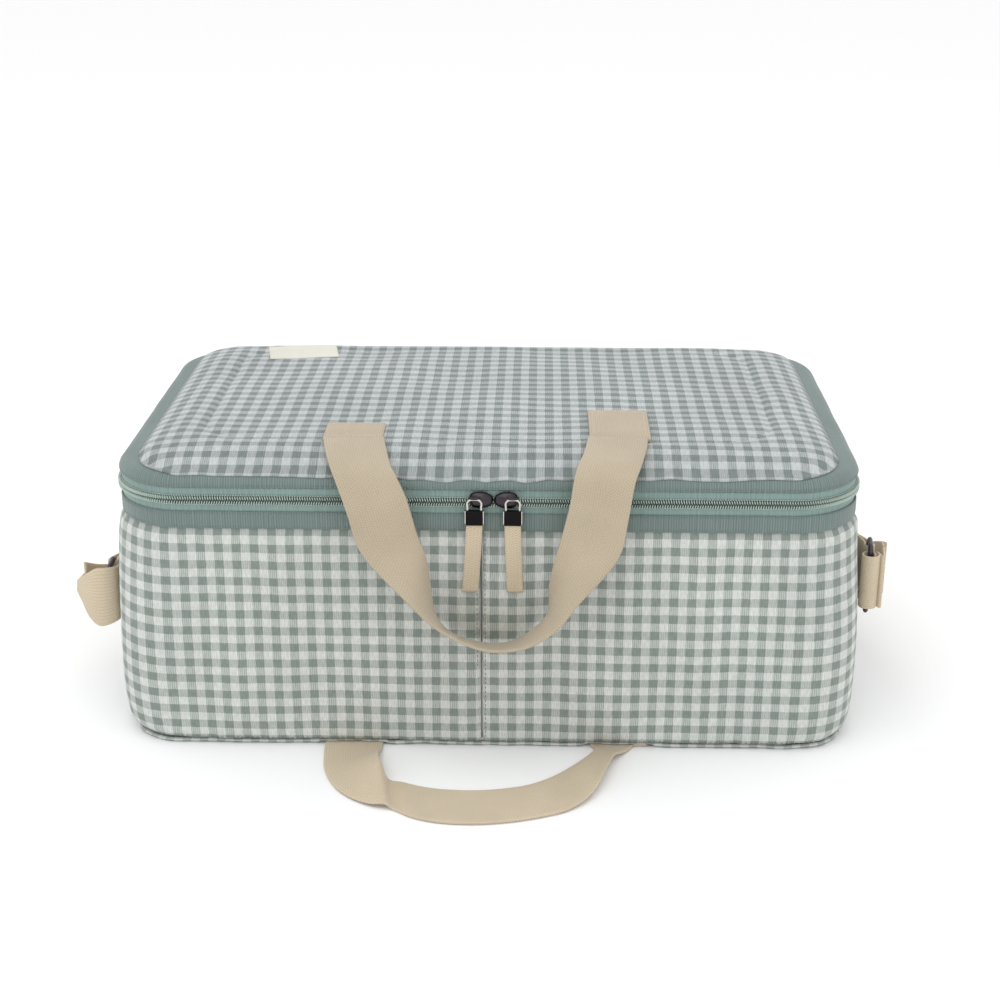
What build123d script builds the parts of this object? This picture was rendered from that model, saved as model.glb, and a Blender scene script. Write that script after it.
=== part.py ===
from build123d import *
from math import atan, degrees
import os

# Insulated cooler bag, in millimetres. X runs to the right, Y away from the front, Z up.
# The origin is the middle of the base, on the surface that the bag stands on.

# ---- driving dimensions ---------------------------------------------------------------
WIDTH = 470.0
DEPTH = 280.0
LID_EDGE_Z = 190.0
LID_TOP_Z = 199.0
CORNER = 45.0

# layers, from the outside in
CLOTH = 1.0
FOAM = 5.0
LINING = 0.8
RIBBON = 0.8
TAPE = 0.8
WEBBING_WIDTH = 38.0
WEBBING = 1.8
CLEARANCE = 0.3

# heights of the layers round the body
HEM_Z = 3.0
WALL_TOP = 155.8
LOWER_BAND_BOTTOM = 153.0
LOWER_BAND_TOP = 164.5
FOAM_TOP = 164.0
ZIP_Z = 172.0
UPPER_TAPE_TOP = 181.0
UPPER_BAND_BOTTOM = 180.4
EDGE_ROUND = 9.0
LID_UNDERSIDE = 184.0
CROWN_WIDTH = 382.0
CROWN_DEPTH = 178.0
CROWN_CORNER = 20.0
CROWN_Y = 6.0
SEAM_X = -2.5

# zip
COIL_HEIGHT = 2.3
COIL_DEPTH = 1.8
COIL_GAP = 1.0
ZIP_END_X = 202.0
SLIDER_LENGTH = 14.4
SLIDER_HEIGHT = 9.0
SLIDER_PLATE = 1.1
EYE_DEPTH = 3.8
EYE_HEIGHT = 5.4
EYE_WIDTH = 5.8
SLIDER_X = {"left": -2.3, "right": 13.0}
PULL_X = {"left": -6.5, "right": 17.2}
PULL_AXIS_Y = -144.9
PULL_AXIS_Z = 172.5
PULL_WIRE = 0.6
BAIL_REACH = 4.6
BAIL_DROP = 12.0
CLAMP_WIDTH = 11.6
CLAMP_DEPTH = 3.0
CLAMP_HEIGHT = 9.5
PULL_TAB_WIDTH = 10.5
PULL_TAB_THICKNESS = 2.0
PULL_TAB_LENGTH = 47.0

# carrying handles of webbing
LID_HANDLE_X = 85.0
LID_HANDLE_ARC_Y = -136.0
LID_HANDLE_ARC_Z = 172.0
LID_HANDLE_ARC = 20.0
BASE_HANDLE_X = 87.0
BASE_HANDLE_Y = -143.3
HANDLE_GAP = 1.3
BASE_HANDLE_REACH = 79.5
PATCH_FRONT = -82.0
PATCH_BACK = -48.0

# shoulder strap and the rings that hold it
RING_Y = -92.0
RING_Z = 95.0
RING_OUTER_X = 251.0
RING_INNER_X = 248.0
RING_INNER_Y = -78.0
TAB_FRONT = -62.0
TAB_LENGTH = 35.0
RING_WIRE = 2.0
RING_HEIGHT = 44.0
STRAP_X = 267.0
STRAP_TILT = 13.4

FRONT = -DEPTH / 2
SIDE = WIDTH / 2
BOARD = 2.0
LINER_FLOOR = HEM_Z + CLOTH + BOARD + FOAM
LINER_INSET = CLOTH + FOAM
BAND_INSET = EDGE_ROUND - RIBBON

os.makedirs("parts", exist_ok=True)


def save(piece, name):
    """Label a finished piece and write it as one STEP file."""
    piece.part.label = name
    export_step(piece.part, f"parts/{name}.step")


def plan(inset, mode=Mode.ADD):
    """Draw the bag's rounded outline seen from above, moved in by a distance."""
    RectangleRounded(WIDTH - 2 * inset, DEPTH - 2 * inset, CORNER - inset, mode=mode)


def plan_ring(outer, inner):
    """Draw the strip of the outline between two insets."""
    plan(outer)
    plan(inner, mode=Mode.SUBTRACT)


def hinge_window(mode):
    """Draw the stretch of the back where the lid hinges instead of zipping."""
    with Locations((0, DEPTH / 2)):
        Rectangle(2 * ZIP_END_X, DEPTH, mode=mode)


def mound(bottom_z, mode=Mode.ADD):
    """Loft the lid's raised shape: the edge outline below, the quilted outline above."""
    with BuildSketch(Plane.XY.offset(bottom_z)) as edge:
        plan(BAND_INSET - 0.2)
    with BuildSketch(Plane.XY.offset(bottom_z + LID_TOP_Z - LID_EDGE_Z + CLOTH)) as crown:
        with Locations((0, CROWN_Y)):
            RectangleRounded(CROWN_WIDTH, CROWN_DEPTH, CROWN_CORNER)
    loft([edge.sketch, crown.sketch], ruled=True, mode=mode)


# ---- body of the bag ------------------------------------------------------------------
for side, sign in (("left", -1), ("right", 1)):
    with BuildPart() as wall:
        with BuildSketch(Plane.XY.offset(HEM_Z)):
            plan_ring(0, CLOTH)
            with Locations((SEAM_X + sign * WIDTH / 2, 0)):
                Rectangle(WIDTH, 2 * DEPTH, mode=Mode.INTERSECT)
        extrude(amount=WALL_TOP - HEM_Z)
    save(wall, f"wall_{side}")

with BuildPart() as base_panel:
    with BuildSketch(Plane.XY.offset(HEM_Z)):
        plan(CLOTH)
    extrude(amount=CLOTH)
save(base_panel, "base_panel")

# The turned hem that the bag stands on is notched at the front, for the base handle.
with BuildPart() as base_hem:
    with BuildSketch():
        plan_ring(0, 4)
    extrude(amount=HEM_Z)
    with BuildSketch(Plane.XY.offset(HEM_Z)):
        with Locations((-BASE_HANDLE_X, FRONT), (BASE_HANDLE_X, FRONT)):
            Rectangle(WEBBING_WIDTH + 3, 20)
    extrude(amount=-WEBBING - 0.2, mode=Mode.SUBTRACT)
save(base_hem, "base_hem")

with BuildPart() as wall_foam:
    with BuildSketch(Plane.XY.offset(HEM_Z + CLOTH)):
        plan_ring(CLOTH, LINER_INSET)
    extrude(amount=FOAM_TOP - HEM_Z - CLOTH)
save(wall_foam, "wall_foam")

with BuildPart() as base_board:
    with BuildSketch(Plane.XY.offset(HEM_Z + CLOTH)):
        plan(LINER_INSET)
    extrude(amount=BOARD)
save(base_board, "base_board")

with BuildPart() as base_foam:
    with BuildSketch(Plane.XY.offset(HEM_Z + CLOTH + BOARD)):
        plan(LINER_INSET)
    extrude(amount=FOAM)
save(base_foam, "base_foam")

with BuildPart() as liner:
    with BuildSketch(Plane.XY.offset(LINER_FLOOR)):
        plan(LINER_INSET)
    extrude(amount=FOAM_TOP - LINER_FLOOR)
    with BuildSketch(Plane.XY.offset(LINER_FLOOR + LINING)):
        plan(LINER_INSET + LINING)
    extrude(amount=FOAM_TOP - LINER_FLOOR, mode=Mode.SUBTRACT)
save(liner, "liner")

# The binding caps the foam and turns down over the liner's top edge.
BINDING_INSET = LINER_INSET + LINING + 1.0
with BuildPart() as liner_binding:
    with BuildSketch(Plane.XY.offset(FOAM_TOP)):
        plan_ring(CLOTH, BINDING_INSET)
    extrude(amount=1.0)
    with BuildSketch(Plane.XY.offset(FOAM_TOP)):
        plan_ring(LINER_INSET + LINING, BINDING_INSET)
    extrude(amount=-12)
save(liner_binding, "liner_binding")

with BuildPart() as lower_band:
    with BuildSketch(Plane.XY.offset(LOWER_BAND_BOTTOM)):
        plan_ring(-RIBBON, 0)
    extrude(amount=LOWER_BAND_TOP - LOWER_BAND_BOTTOM)
save(lower_band, "lower_band")

# ---- zip ------------------------------------------------------------------------------
TAPE_GAP = COIL_GAP + 0.2
COIL_SPAN = {
    "lower": (ZIP_Z - COIL_GAP / 2 - COIL_HEIGHT, ZIP_Z - COIL_GAP / 2),
    "upper": (ZIP_Z + COIL_GAP / 2, ZIP_Z + COIL_GAP / 2 + COIL_HEIGHT),
}
TAPE_SPAN = {
    "lower": (WALL_TOP + 0.2, ZIP_Z - TAPE_GAP / 2),
    "upper": (ZIP_Z + TAPE_GAP / 2, UPPER_TAPE_TOP),
}
HINGE_SPAN = {
    "lower": (WALL_TOP + 0.2, ZIP_Z - 0.5),
    "upper": (ZIP_Z + 0.5, UPPER_TAPE_TOP),
}
for half in ("lower", "upper"):
    with BuildPart() as zip_tape:
        with BuildSketch(Plane.XY.offset(TAPE_SPAN[half][0])):
            plan_ring(0, TAPE)
            hinge_window(Mode.SUBTRACT)
        extrude(amount=TAPE_SPAN[half][1] - TAPE_SPAN[half][0])
    save(zip_tape, f"zip_tape_{half}")

    with BuildPart() as zip_coil:
        with BuildSketch(Plane.XY.offset(COIL_SPAN[half][0])):
            plan_ring(-COIL_DEPTH, 0)
            hinge_window(Mode.SUBTRACT)
        extrude(amount=COIL_HEIGHT)
    save(zip_coil, f"zip_coil_{half}")

    with BuildPart() as hinge_strip:
        with BuildSketch(Plane.XY.offset(HINGE_SPAN[half][0])):
            plan_ring(0, TAPE)
            hinge_window(Mode.INTERSECT)
        extrude(amount=HINGE_SPAN[half][1] - HINGE_SPAN[half][0])
    save(hinge_strip, f"hinge_strip_{half}")

# A small staple closes the coil at each end.
with BuildPart() as zip_end_stops:
    with BuildSketch(Plane.XY.offset(COIL_SPAN["lower"][0] - 0.3)):
        plan_ring(-COIL_DEPTH, 0)
        hinge_window(Mode.INTERSECT)
        with Locations((0, DEPTH / 2)):
            Rectangle(2 * ZIP_END_X - 6, DEPTH, mode=Mode.SUBTRACT)
    extrude(amount=COIL_HEIGHT)
save(zip_end_stops, "zip_end_stops")

OUTER_PLATE_Y = FRONT - COIL_DEPTH - CLEARANCE
INNER_PLATE_Y = FRONT + TAPE + CLEARANCE
for side, sign in (("left", -1), ("right", 1)):
    slider_x = SLIDER_X[side]
    pull_x = PULL_X[side]

    # Two plates hold the coils between them, and a thin wedge at the nose joins the plates.
    with BuildPart() as slider:
        with BuildSketch(Plane.XZ.offset(-OUTER_PLATE_Y)):
            with Locations((slider_x, ZIP_Z)):
                RectangleRounded(SLIDER_LENGTH, SLIDER_HEIGHT, 2)
        extrude(amount=SLIDER_PLATE)
        with BuildSketch(Plane.XZ.offset(-INNER_PLATE_Y)):
            with Locations((slider_x, ZIP_Z)):
                RectangleRounded(SLIDER_LENGTH, SLIDER_HEIGHT, 2)
        extrude(amount=-SLIDER_PLATE)
        with BuildSketch(Plane.XZ.offset(-OUTER_PLATE_Y)):
            with Locations((slider_x - sign * (SLIDER_LENGTH / 2 - 2.2), ZIP_Z)):
                Rectangle(2.4, 0.5)
        extrude(amount=OUTER_PLATE_Y - INNER_PLATE_Y)
        with BuildSketch(Plane.YZ.offset(pull_x)):
            with Locations((OUTER_PLATE_Y - SLIDER_PLATE + 0.2 - EYE_DEPTH / 2, PULL_AXIS_Z)):
                RectangleRounded(EYE_DEPTH, EYE_HEIGHT, 1.2)
            with Locations((PULL_AXIS_Y, PULL_AXIS_Z)):
                Circle(PULL_WIRE + CLEARANCE, mode=Mode.SUBTRACT)
        extrude(amount=EYE_WIDTH / 2, both=True)
    save(slider, f"slider_{side}")

    # A wire staple hangs in the slider's eye, a pressed clamp closes it and holds the tab.
    clamp_top = PULL_AXIS_Z - BAIL_DROP
    with BuildPart() as pull_bail:
        with BuildLine() as bail_path:
            FilletPolyline(
                (pull_x - BAIL_REACH, PULL_AXIS_Y, clamp_top),
                (pull_x - BAIL_REACH, PULL_AXIS_Y, PULL_AXIS_Z),
                (pull_x + BAIL_REACH, PULL_AXIS_Y, PULL_AXIS_Z),
                (pull_x + BAIL_REACH, PULL_AXIS_Y, clamp_top),
                radius=1.0,
            )
        with BuildSketch(Plane(bail_path.line @ 0, z_dir=bail_path.line % 0)):
            Circle(PULL_WIRE)
        sweep()
    save(pull_bail, f"pull_bail_{side}")

    with BuildPart() as pull_clamp:
        with BuildSketch(Plane.XY.offset(clamp_top)):
            with Locations((pull_x, PULL_AXIS_Y)):
                RectangleRounded(CLAMP_WIDTH, CLAMP_DEPTH, 0.8)
        extrude(amount=-CLAMP_HEIGHT)
    save(pull_clamp, f"pull_clamp_{side}")

    with BuildPart() as pull_tab:
        with BuildSketch(Plane.XY.offset(clamp_top - CLAMP_HEIGHT)):
            with Locations((pull_x, PULL_AXIS_Y)):
                Rectangle(PULL_TAB_WIDTH, PULL_TAB_THICKNESS)
        extrude(amount=-PULL_TAB_LENGTH)
    save(pull_tab, f"pull_tab_{side}")

# ---- lid ------------------------------------------------------------------------------
with BuildPart() as lid_panel:
    mound(LID_EDGE_Z - CLOTH)
    mound(LID_EDGE_Z - 2 * CLOTH, mode=Mode.SUBTRACT)
save(lid_panel, "lid_panel")

with BuildPart() as lid_foam:
    mound(LID_EDGE_Z - 2 * CLOTH)
    with BuildSketch(Plane.XY.offset(LID_UNDERSIDE)):
        plan(4)
    extrude(amount=LID_EDGE_Z - 2 * CLOTH - LID_UNDERSIDE)
save(lid_foam, "lid_foam")

with BuildPart() as lid_liner:
    with BuildSketch(Plane.XY.offset(LID_UNDERSIDE - LINING)):
        plan(CLOTH)
    extrude(amount=LINING)
save(lid_liner, "lid_liner")

with BuildPart() as lid_binding:
    with BuildSketch(Plane.XY.offset(UPPER_TAPE_TOP)):
        plan_ring(0.5, 9)
    extrude(amount=LID_UNDERSIDE - LINING - UPPER_TAPE_TOP)
save(lid_binding, "lid_binding")

# The ribbon stands upright over the zip tape and rolls over the lid's edge.
with BuildPart() as upper_band:
    with BuildSketch(Plane.XY.offset(UPPER_BAND_BOTTOM)):
        plan(-RIBBON)
    extrude(amount=LID_EDGE_Z - UPPER_BAND_BOTTOM)
    fillet(upper_band.faces().sort_by(Axis.Z)[-1].edges(), radius=EDGE_ROUND)
    offset(amount=-RIBBON, openings=upper_band.faces().sort_by(Axis.Z)[0])
    with BuildSketch(Plane.XY.offset(UPPER_BAND_BOTTOM)):
        plan(BAND_INSET)
    extrude(amount=LID_EDGE_Z, mode=Mode.SUBTRACT)
save(upper_band, "upper_band")

# The label lies on the lid's back slope.
LABEL_PLACE = (-141, 113.5, 194.2)
LABEL_WIDTH = 50
LABEL_DEPTH = 30
LABEL_THICKNESS = 0.8
SLOPE_RISE = LID_TOP_Z - LID_EDGE_Z + CLOTH
SLOPE_RUN = DEPTH / 2 - (BAND_INSET - 0.2) - (CROWN_DEPTH / 2 + CROWN_Y)
with BuildPart() as label:
    with BuildSketch(Plane(origin=LABEL_PLACE, x_dir=(1, 0, 0), z_dir=(0, SLOPE_RISE, SLOPE_RUN))):
        Rectangle(LABEL_WIDTH, LABEL_DEPTH)
    extrude(amount=LABEL_THICKNESS)
save(label, "label")

# ---- carrying handle on the lid -------------------------------------------------------
PATCH_Z = LID_TOP_Z + 0.1
with BuildPart() as lid_handle_ends:
    for x in (-LID_HANDLE_X, LID_HANDLE_X):
        with BuildSketch(Plane.YZ.offset(x)):
            with BuildLine() as root_path:
                tail = Line((PATCH_BACK, PATCH_Z + WEBBING / 2), (PATCH_FRONT - 1, PATCH_Z + WEBBING / 2))
                arc = CenterArc((LID_HANDLE_ARC_Y, LID_HANDLE_ARC_Z), LID_HANDLE_ARC, 98.5, 36.5)
                Line(tail @ 1, arc @ 0)
            trace(root_path.line, WEBBING)
            with Locations(((PATCH_FRONT + PATCH_BACK) / 2, PATCH_Z + WEBBING)):
                Rectangle(PATCH_BACK - PATCH_FRONT, 2 * WEBBING)
        extrude(amount=WEBBING_WIDTH / 2, both=True)
save(lid_handle_ends, "lid_handle_ends")

with BuildPart() as lid_handle:
    for x in (-LID_HANDLE_X, LID_HANDLE_X):
        with BuildSketch(Plane.YZ.offset(x)):
            with BuildLine() as bend:
                CenterArc((LID_HANDLE_ARC_Y, LID_HANDLE_ARC_Z), LID_HANDLE_ARC, 138, 42)
            trace(bend.line, WEBBING)
        extrude(amount=WEBBING_WIDTH / 2, both=True)
    with BuildSketch(Plane.XZ.offset(LID_HANDLE_ARC - LID_HANDLE_ARC_Y - WEBBING / 2)):
        with BuildLine():
            outer = FilletPolyline((-104, 172), (-71, 120), (-58, 77), (58, 77), (71, 120), (104, 172), radius=14)
            inner = FilletPolyline((66, 172), (37, 125), (28, 97), (-28, 97), (-37, 125), (-66, 172), radius=8)
            Line(outer @ 1, inner @ 0)
            Line(inner @ 1, outer @ 0)
        make_face()
    extrude(amount=WEBBING)
save(lid_handle, "lid_handle")

# ---- carrying handle under the base ---------------------------------------------------
with BuildPart() as base_handle_ends:
    with BuildSketch(Plane.XY.offset(HEM_Z - WEBBING)):
        for x in (-BASE_HANDLE_X, BASE_HANDLE_X):
            with Locations((x, (BASE_HANDLE_Y + HANDLE_GAP + PATCH_BACK) / 2)):
                Rectangle(WEBBING_WIDTH, PATCH_BACK - BASE_HANDLE_Y - HANDLE_GAP)
    extrude(amount=WEBBING)
save(base_handle_ends, "base_handle_ends")

with BuildPart() as base_handle:
    with BuildSketch(Plane.XY.offset(0.2)):
        with BuildLine() as loop:
            FilletPolyline(
                (-BASE_HANDLE_X, BASE_HANDLE_Y),
                (-BASE_HANDLE_X, BASE_HANDLE_Y - BASE_HANDLE_REACH),
                (BASE_HANDLE_X, BASE_HANDLE_Y - BASE_HANDLE_REACH),
                (BASE_HANDLE_X, BASE_HANDLE_Y),
                radius=40,
            )
        trace(loop.line, WEBBING_WIDTH)
    extrude(amount=WEBBING)
save(base_handle, "base_handle")

# ---- rings and shoulder strap ---------------------------------------------------------
RING_BOTTOM = RING_Z - RING_HEIGHT / 2
BAR_CLEARANCE = RING_WIRE + CLEARANCE
for side, sign in (("left", -1), ("right", 1)):
    inner_bar = (sign * RING_INNER_X, RING_INNER_Y)
    outer_bar = (sign * RING_OUTER_X, RING_Y)

    # A tab of folded webbing is sewn on the side wall and holds the ring's inner bar.
    with BuildPart() as side_tab:
        with BuildSketch(Plane.XY.offset(RING_Z - WEBBING_WIDTH / 2)):
            with Locations((sign * (SIDE + WEBBING), TAB_FRONT + TAB_LENGTH / 2)):
                Rectangle(2 * WEBBING, TAB_LENGTH)
            with BuildLine():
                Polyline(
                    (sign * (SIDE + 1), TAB_FRONT - 4),
                    (sign * (SIDE + 2 * WEBBING), TAB_FRONT + 4),
                    (sign * (RING_INNER_X + 2.7), RING_INNER_Y + 2.8),
                    (sign * (RING_INNER_X - 2.7), RING_INNER_Y - 2.8),
                    close=True,
                )
            make_face()
            with Locations(inner_bar):
                Circle(BAR_CLEARANCE + WEBBING)
                Circle(BAR_CLEARANCE, mode=Mode.SUBTRACT)
        extrude(amount=WEBBING_WIDTH)
    save(side_tab, f"side_tab_{side}")

    with BuildPart() as strap_ring:
        with BuildLine() as ring_path:
            FilletPolyline(
                (*inner_bar, RING_BOTTOM),
                (*outer_bar, RING_BOTTOM),
                (*outer_bar, RING_BOTTOM + RING_HEIGHT),
                (*inner_bar, RING_BOTTOM + RING_HEIGHT),
                radius=2.6,
                close=True,
            )
        with BuildSketch(Plane(ring_path.line @ 0, z_dir=ring_path.line % 0)):
            Circle(RING_WIRE)
        sweep()
    save(strap_ring, f"strap_ring_{side}")

    # The strap's end is rolled round the outer bar and turns back along the bag's side.
    with BuildPart() as strap_end:
        with BuildSketch(Plane.XY.offset(RING_Z - WEBBING_WIDTH / 2)):
            with BuildLine() as turn:
                FilletPolyline(
                    (sign * RING_OUTER_X, RING_Y - 6.3),
                    (sign * (STRAP_X - 4.2), RING_Y - 6.3),
                    (sign * (STRAP_X - 4.2), RING_Y + 3),
                    radius=5,
                )
            trace(turn.line, WEBBING)
            with Locations(outer_bar):
                Circle(BAR_CLEARANCE + 2.7 * WEBBING)
                Circle(BAR_CLEARANCE, mode=Mode.SUBTRACT)
        extrude(amount=WEBBING_WIDTH)
    save(strap_end, f"strap_end_{side}")

# The strap lies behind the bag in a plane that drops from the rings to the floor.
# In that plane, x is across the bag and y is the distance from the rings' axis.
strap_plane = Plane(
    origin=(0, RING_Y, RING_Z), x_dir=(1, 0, 0), z_dir=(0, 0, 1)
).rotated((-STRAP_TILT, 0, 0))
with BuildPart() as shoulder_strap:
    with BuildSketch(strap_plane):
        with BuildLine() as strap_path:
            FilletPolyline(
                (-STRAP_X, 5),
                (1 - STRAP_X, 30),
                (-256, 150),
                (-250, 225),
                (-200, 300),
                (0, 326),
                (200, 300),
                (250, 225),
                (256, 150),
                (STRAP_X - 1, 30),
                (STRAP_X, 5),
                radius=50,
            )
        trace(strap_path.line, WEBBING)
    extrude(amount=WEBBING_WIDTH / 2, both=True)
save(shoulder_strap, "shoulder_strap")

# The free end doubles back outside the strap and passes through the adjuster.
LAYER_STEP = 2.0
RETURN_TURN = STRAP_X - 1
RETURN_SLOPE = (RETURN_TURN - 256) / 120
RETURN_END = 123
RETURN_END_X = RETURN_TURN - RETURN_SLOPE * (RETURN_END - 30)
with BuildPart() as strap_return:
    with BuildSketch(strap_plane):
        with BuildLine() as return_path:
            Polyline(
                (STRAP_X + LAYER_STEP, 8),
                (RETURN_TURN + LAYER_STEP, 30),
                (RETURN_END_X + LAYER_STEP, RETURN_END),
            )
        trace(return_path.line, WEBBING - 0.2)
    extrude(amount=WEBBING_WIDTH / 2, both=True)
save(strap_return, "strap_return")

ADJUSTER_Y = 105
adjuster_x = RETURN_TURN - RETURN_SLOPE * (ADJUSTER_Y - 30) + LAYER_STEP / 2
adjuster_place = Location((adjuster_x, ADJUSTER_Y, 0), (0, 0, degrees(atan(RETURN_SLOPE))))
with BuildPart() as strap_adjuster:
    with BuildSketch(strap_plane):
        with Locations(adjuster_place):
            Rectangle(8.4, 22)
    extrude(amount=WEBBING_WIDTH / 2 + 4, both=True)
    with BuildSketch(strap_plane):
        with Locations(adjuster_place):
            Rectangle(4.8, 30)
    extrude(amount=WEBBING_WIDTH / 2 + 0.4, both=True, mode=Mode.SUBTRACT)
save(strap_adjuster, "strap_adjuster")
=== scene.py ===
"""Insulated cooler bag in gingham cloth, with ribbon trim, a zip and webbing handles."""

import math

import bpy
import numpy as np
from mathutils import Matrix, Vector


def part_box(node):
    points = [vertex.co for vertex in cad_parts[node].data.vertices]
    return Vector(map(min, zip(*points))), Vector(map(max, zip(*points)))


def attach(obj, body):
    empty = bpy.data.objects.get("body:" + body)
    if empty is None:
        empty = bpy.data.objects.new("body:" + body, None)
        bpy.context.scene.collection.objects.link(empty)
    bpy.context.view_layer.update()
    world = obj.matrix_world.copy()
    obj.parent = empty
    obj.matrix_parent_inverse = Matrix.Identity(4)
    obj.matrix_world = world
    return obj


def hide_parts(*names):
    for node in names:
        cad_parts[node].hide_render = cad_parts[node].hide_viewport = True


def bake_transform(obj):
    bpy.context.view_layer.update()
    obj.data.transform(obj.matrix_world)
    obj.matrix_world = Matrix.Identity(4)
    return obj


bl_info = {
    "name": "Gingham Cooler Bag",
    "version": (1, 0, 0),
    "blender": (4, 5, 0),
    "location": "View3D > Sidebar > Cooler Bag",
    "description": "Builds a soft cooler bag with a zipped lid, webbing handles and a shoulder strap",
    "category": "Add Mesh",
}

MM = 0.001
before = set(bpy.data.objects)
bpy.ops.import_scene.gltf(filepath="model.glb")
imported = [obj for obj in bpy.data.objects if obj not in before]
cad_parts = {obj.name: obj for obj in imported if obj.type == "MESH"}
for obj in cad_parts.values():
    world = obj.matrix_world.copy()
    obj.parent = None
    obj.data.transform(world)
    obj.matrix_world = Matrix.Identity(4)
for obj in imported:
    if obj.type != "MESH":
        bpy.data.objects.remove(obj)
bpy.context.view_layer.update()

# Places that come from the frame, in metres.
HALF_WIDTH, HALF_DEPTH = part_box("base_hem")[1].x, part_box("base_hem")[1].y
HEM_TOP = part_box("base_hem")[1].z
BAND_LOW, BAND_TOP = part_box("lower_band")[0].z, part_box("lower_band")[1].z
UPPER_LOW, LID_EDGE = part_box("upper_band")[0].z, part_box("upper_band")[1].z
WALL_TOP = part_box("wall_left")[1].z
COIL_LOW, COIL_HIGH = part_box("zip_coil_lower"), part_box("zip_coil_upper")
ZIP_Z = (COIL_LOW[1].z + COIL_HIGH[0].z) / 2
ZIP_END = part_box("hinge_strip_lower")[1].x
TAPE_LOW, TAPE_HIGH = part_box("zip_tape_lower"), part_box("zip_tape_upper")
HINGE_LOW, HINGE_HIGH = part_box("hinge_strip_lower"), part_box("hinge_strip_upper")
LID_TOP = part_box("lid_panel")[1].z
FOAM_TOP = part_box("wall_foam")[1].z
LINER_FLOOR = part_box("liner")[0].z
LID_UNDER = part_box("lid_liner")[0].z
RING_Z = (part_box("strap_ring_left")[0].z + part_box("strap_ring_left")[1].z) / 2
CORNER = 45 * MM
BAND_INSET = 8.2 * MM
SEAM_X = -2.5 * MM
CROWN_Y = 1.5 * MM
CROWN_X = -0.5 * MM
CROWN_HALF = (183.5 * MM, 98.5 * MM)
CROWN_CORNER = 30 * MM


# ---- sizes and colours ------------------------------------------------------------------


def length(name, description, default):
    """A distance that a user may change."""
    return bpy.props.FloatProperty(
        name=name, description=description, default=default, unit="LENGTH", precision=5
    )


def colour(name, description, default):
    """A colour that a user may change."""
    return bpy.props.FloatVectorProperty(
        name=name, description=description, default=default, subtype="COLOR", size=3, min=0, max=1
    )


class CoolerCloth(bpy.types.PropertyGroup):
    """Sizes and colours of the gingham and its lining."""

    check: length("Check", "One dark and one light stripe together", 11.3 * MM)
    yarn: length("Yarn", "Distance between the yarns that show", 1.25 * MM)
    side_bulge: length("Side Bulge", "How far the side walls stand out", 8.8 * MM)
    front_bulge: length("Front Bulge", "How far the front and back stand out", 4.0 * MM)
    wave: length("Waves", "Depth of the soft waves in the walls", 0.9 * MM)
    sage: colour("Sage", "Dark squares of the check", (0.214, 0.250, 0.224))
    chalk: colour("Chalk", "Light squares of the check", (0.607, 0.626, 0.592))
    lining: colour("Lining", "Wipe-clean lining", (0.62, 0.63, 0.62))


class CoolerTrim(bpy.types.PropertyGroup):
    """Sizes and colours of the ribbon, the zip and its pulls."""

    rib: length("Rib", "Distance between the ribbon's ribs", 1.6 * MM)
    tooth: length("Tooth", "Distance between the zip's teeth", 1.55 * MM)
    stitch: length("Stitch", "Length of one stitch", 2.4 * MM)
    stitch_gap: length("Stitch Gap", "Space between stitches", 0.9 * MM)
    ribbon: colour("Ribbon", "Grosgrain ribbon", (0.158, 0.209, 0.195))
    tape: colour("Tape", "Zip tape", (0.223, 0.317, 0.290))
    coil: colour("Coil", "Zip teeth", (0.42, 0.52, 0.46))
    thread: colour("Thread", "Sewing thread", (0.15, 0.20, 0.18))
    gunmetal: colour("Gunmetal", "Sliders and rings", (0.055, 0.048, 0.055))


class CoolerWebbing(bpy.types.PropertyGroup):
    """Sizes and colours of the webbing."""

    thickness: length("Thickness", "Thickness of the webbing", 1.8 * MM)
    rib: length("Cord", "Distance between the cords along the webbing", 1.5 * MM)
    cream: colour("Cream", "Webbing", (0.60, 0.50, 0.36))


class CoolerStage(bpy.types.PropertyGroup):
    """Light and camera."""

    sky: bpy.props.FloatProperty(name="Sky", description="Strength of the even light", default=1.0, min=0)
    key: bpy.props.FloatProperty(
        name="Key", description="Strength of the soft lamp above", default=16.0, min=0
    )
    lens: bpy.props.FloatProperty(
        name="Lens", description="Focal length in millimetres", default=59.83, min=1
    )


# ---- shapes -----------------------------------------------------------------------------


def outline(along, offset=0.0):
    """Points and outward directions on the bag's plan.

    The plan is a rectangle whose corners are quarter circles. The distance along it starts at the
    middle of the front and goes first to the right. A straight run keeps its heading, a corner turns
    by distance over radius, and offset moves the point along the outward direction.
    """
    run_x, run_y = HALF_WIDTH - CORNER, HALF_DEPTH - CORNER
    quarter = math.pi * CORNER / 2
    starts = np.cumsum(
        [0, run_x, quarter, 2 * run_y, quarter, 2 * run_x, quarter, 2 * run_y, quarter, run_x]
    )
    travelled = np.mod(along, starts[-1])
    part = np.clip(np.searchsorted(starts, travelled, side="right") - 1, 0, 8)
    left = travelled - starts[part]
    turning = part % 2
    heading = (part // 2 + turning * left / quarter) * math.pi / 2
    anchor_x = np.array([0, run_x, HALF_WIDTH, run_x, run_x, -run_x, -HALF_WIDTH, -run_x, -run_x])[part]
    anchor_y = np.array(
        [-HALF_DEPTH, -run_y, -run_y, run_y, HALF_DEPTH, run_y, run_y, -run_y, -HALF_DEPTH]
    )[part]
    out_x, out_y = np.sin(heading), -np.cos(heading)
    ahead = (1 - turning) * left
    reach = turning * CORNER + offset
    return anchor_x - ahead * out_y + reach * out_x, anchor_y + ahead * out_x + reach * out_y, out_x, out_y


PERIMETER = 4 * (HALF_WIDTH + HALF_DEPTH - 2 * CORNER) + 2 * math.pi * CORNER
WEBBING_HALF = 18.7 * MM  # half the width of the drawn webbing
BACK_SEAM = PERIMETER / 2 - SEAM_X
ZIP_REACH = PERIMETER / 2 - ZIP_END


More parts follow.
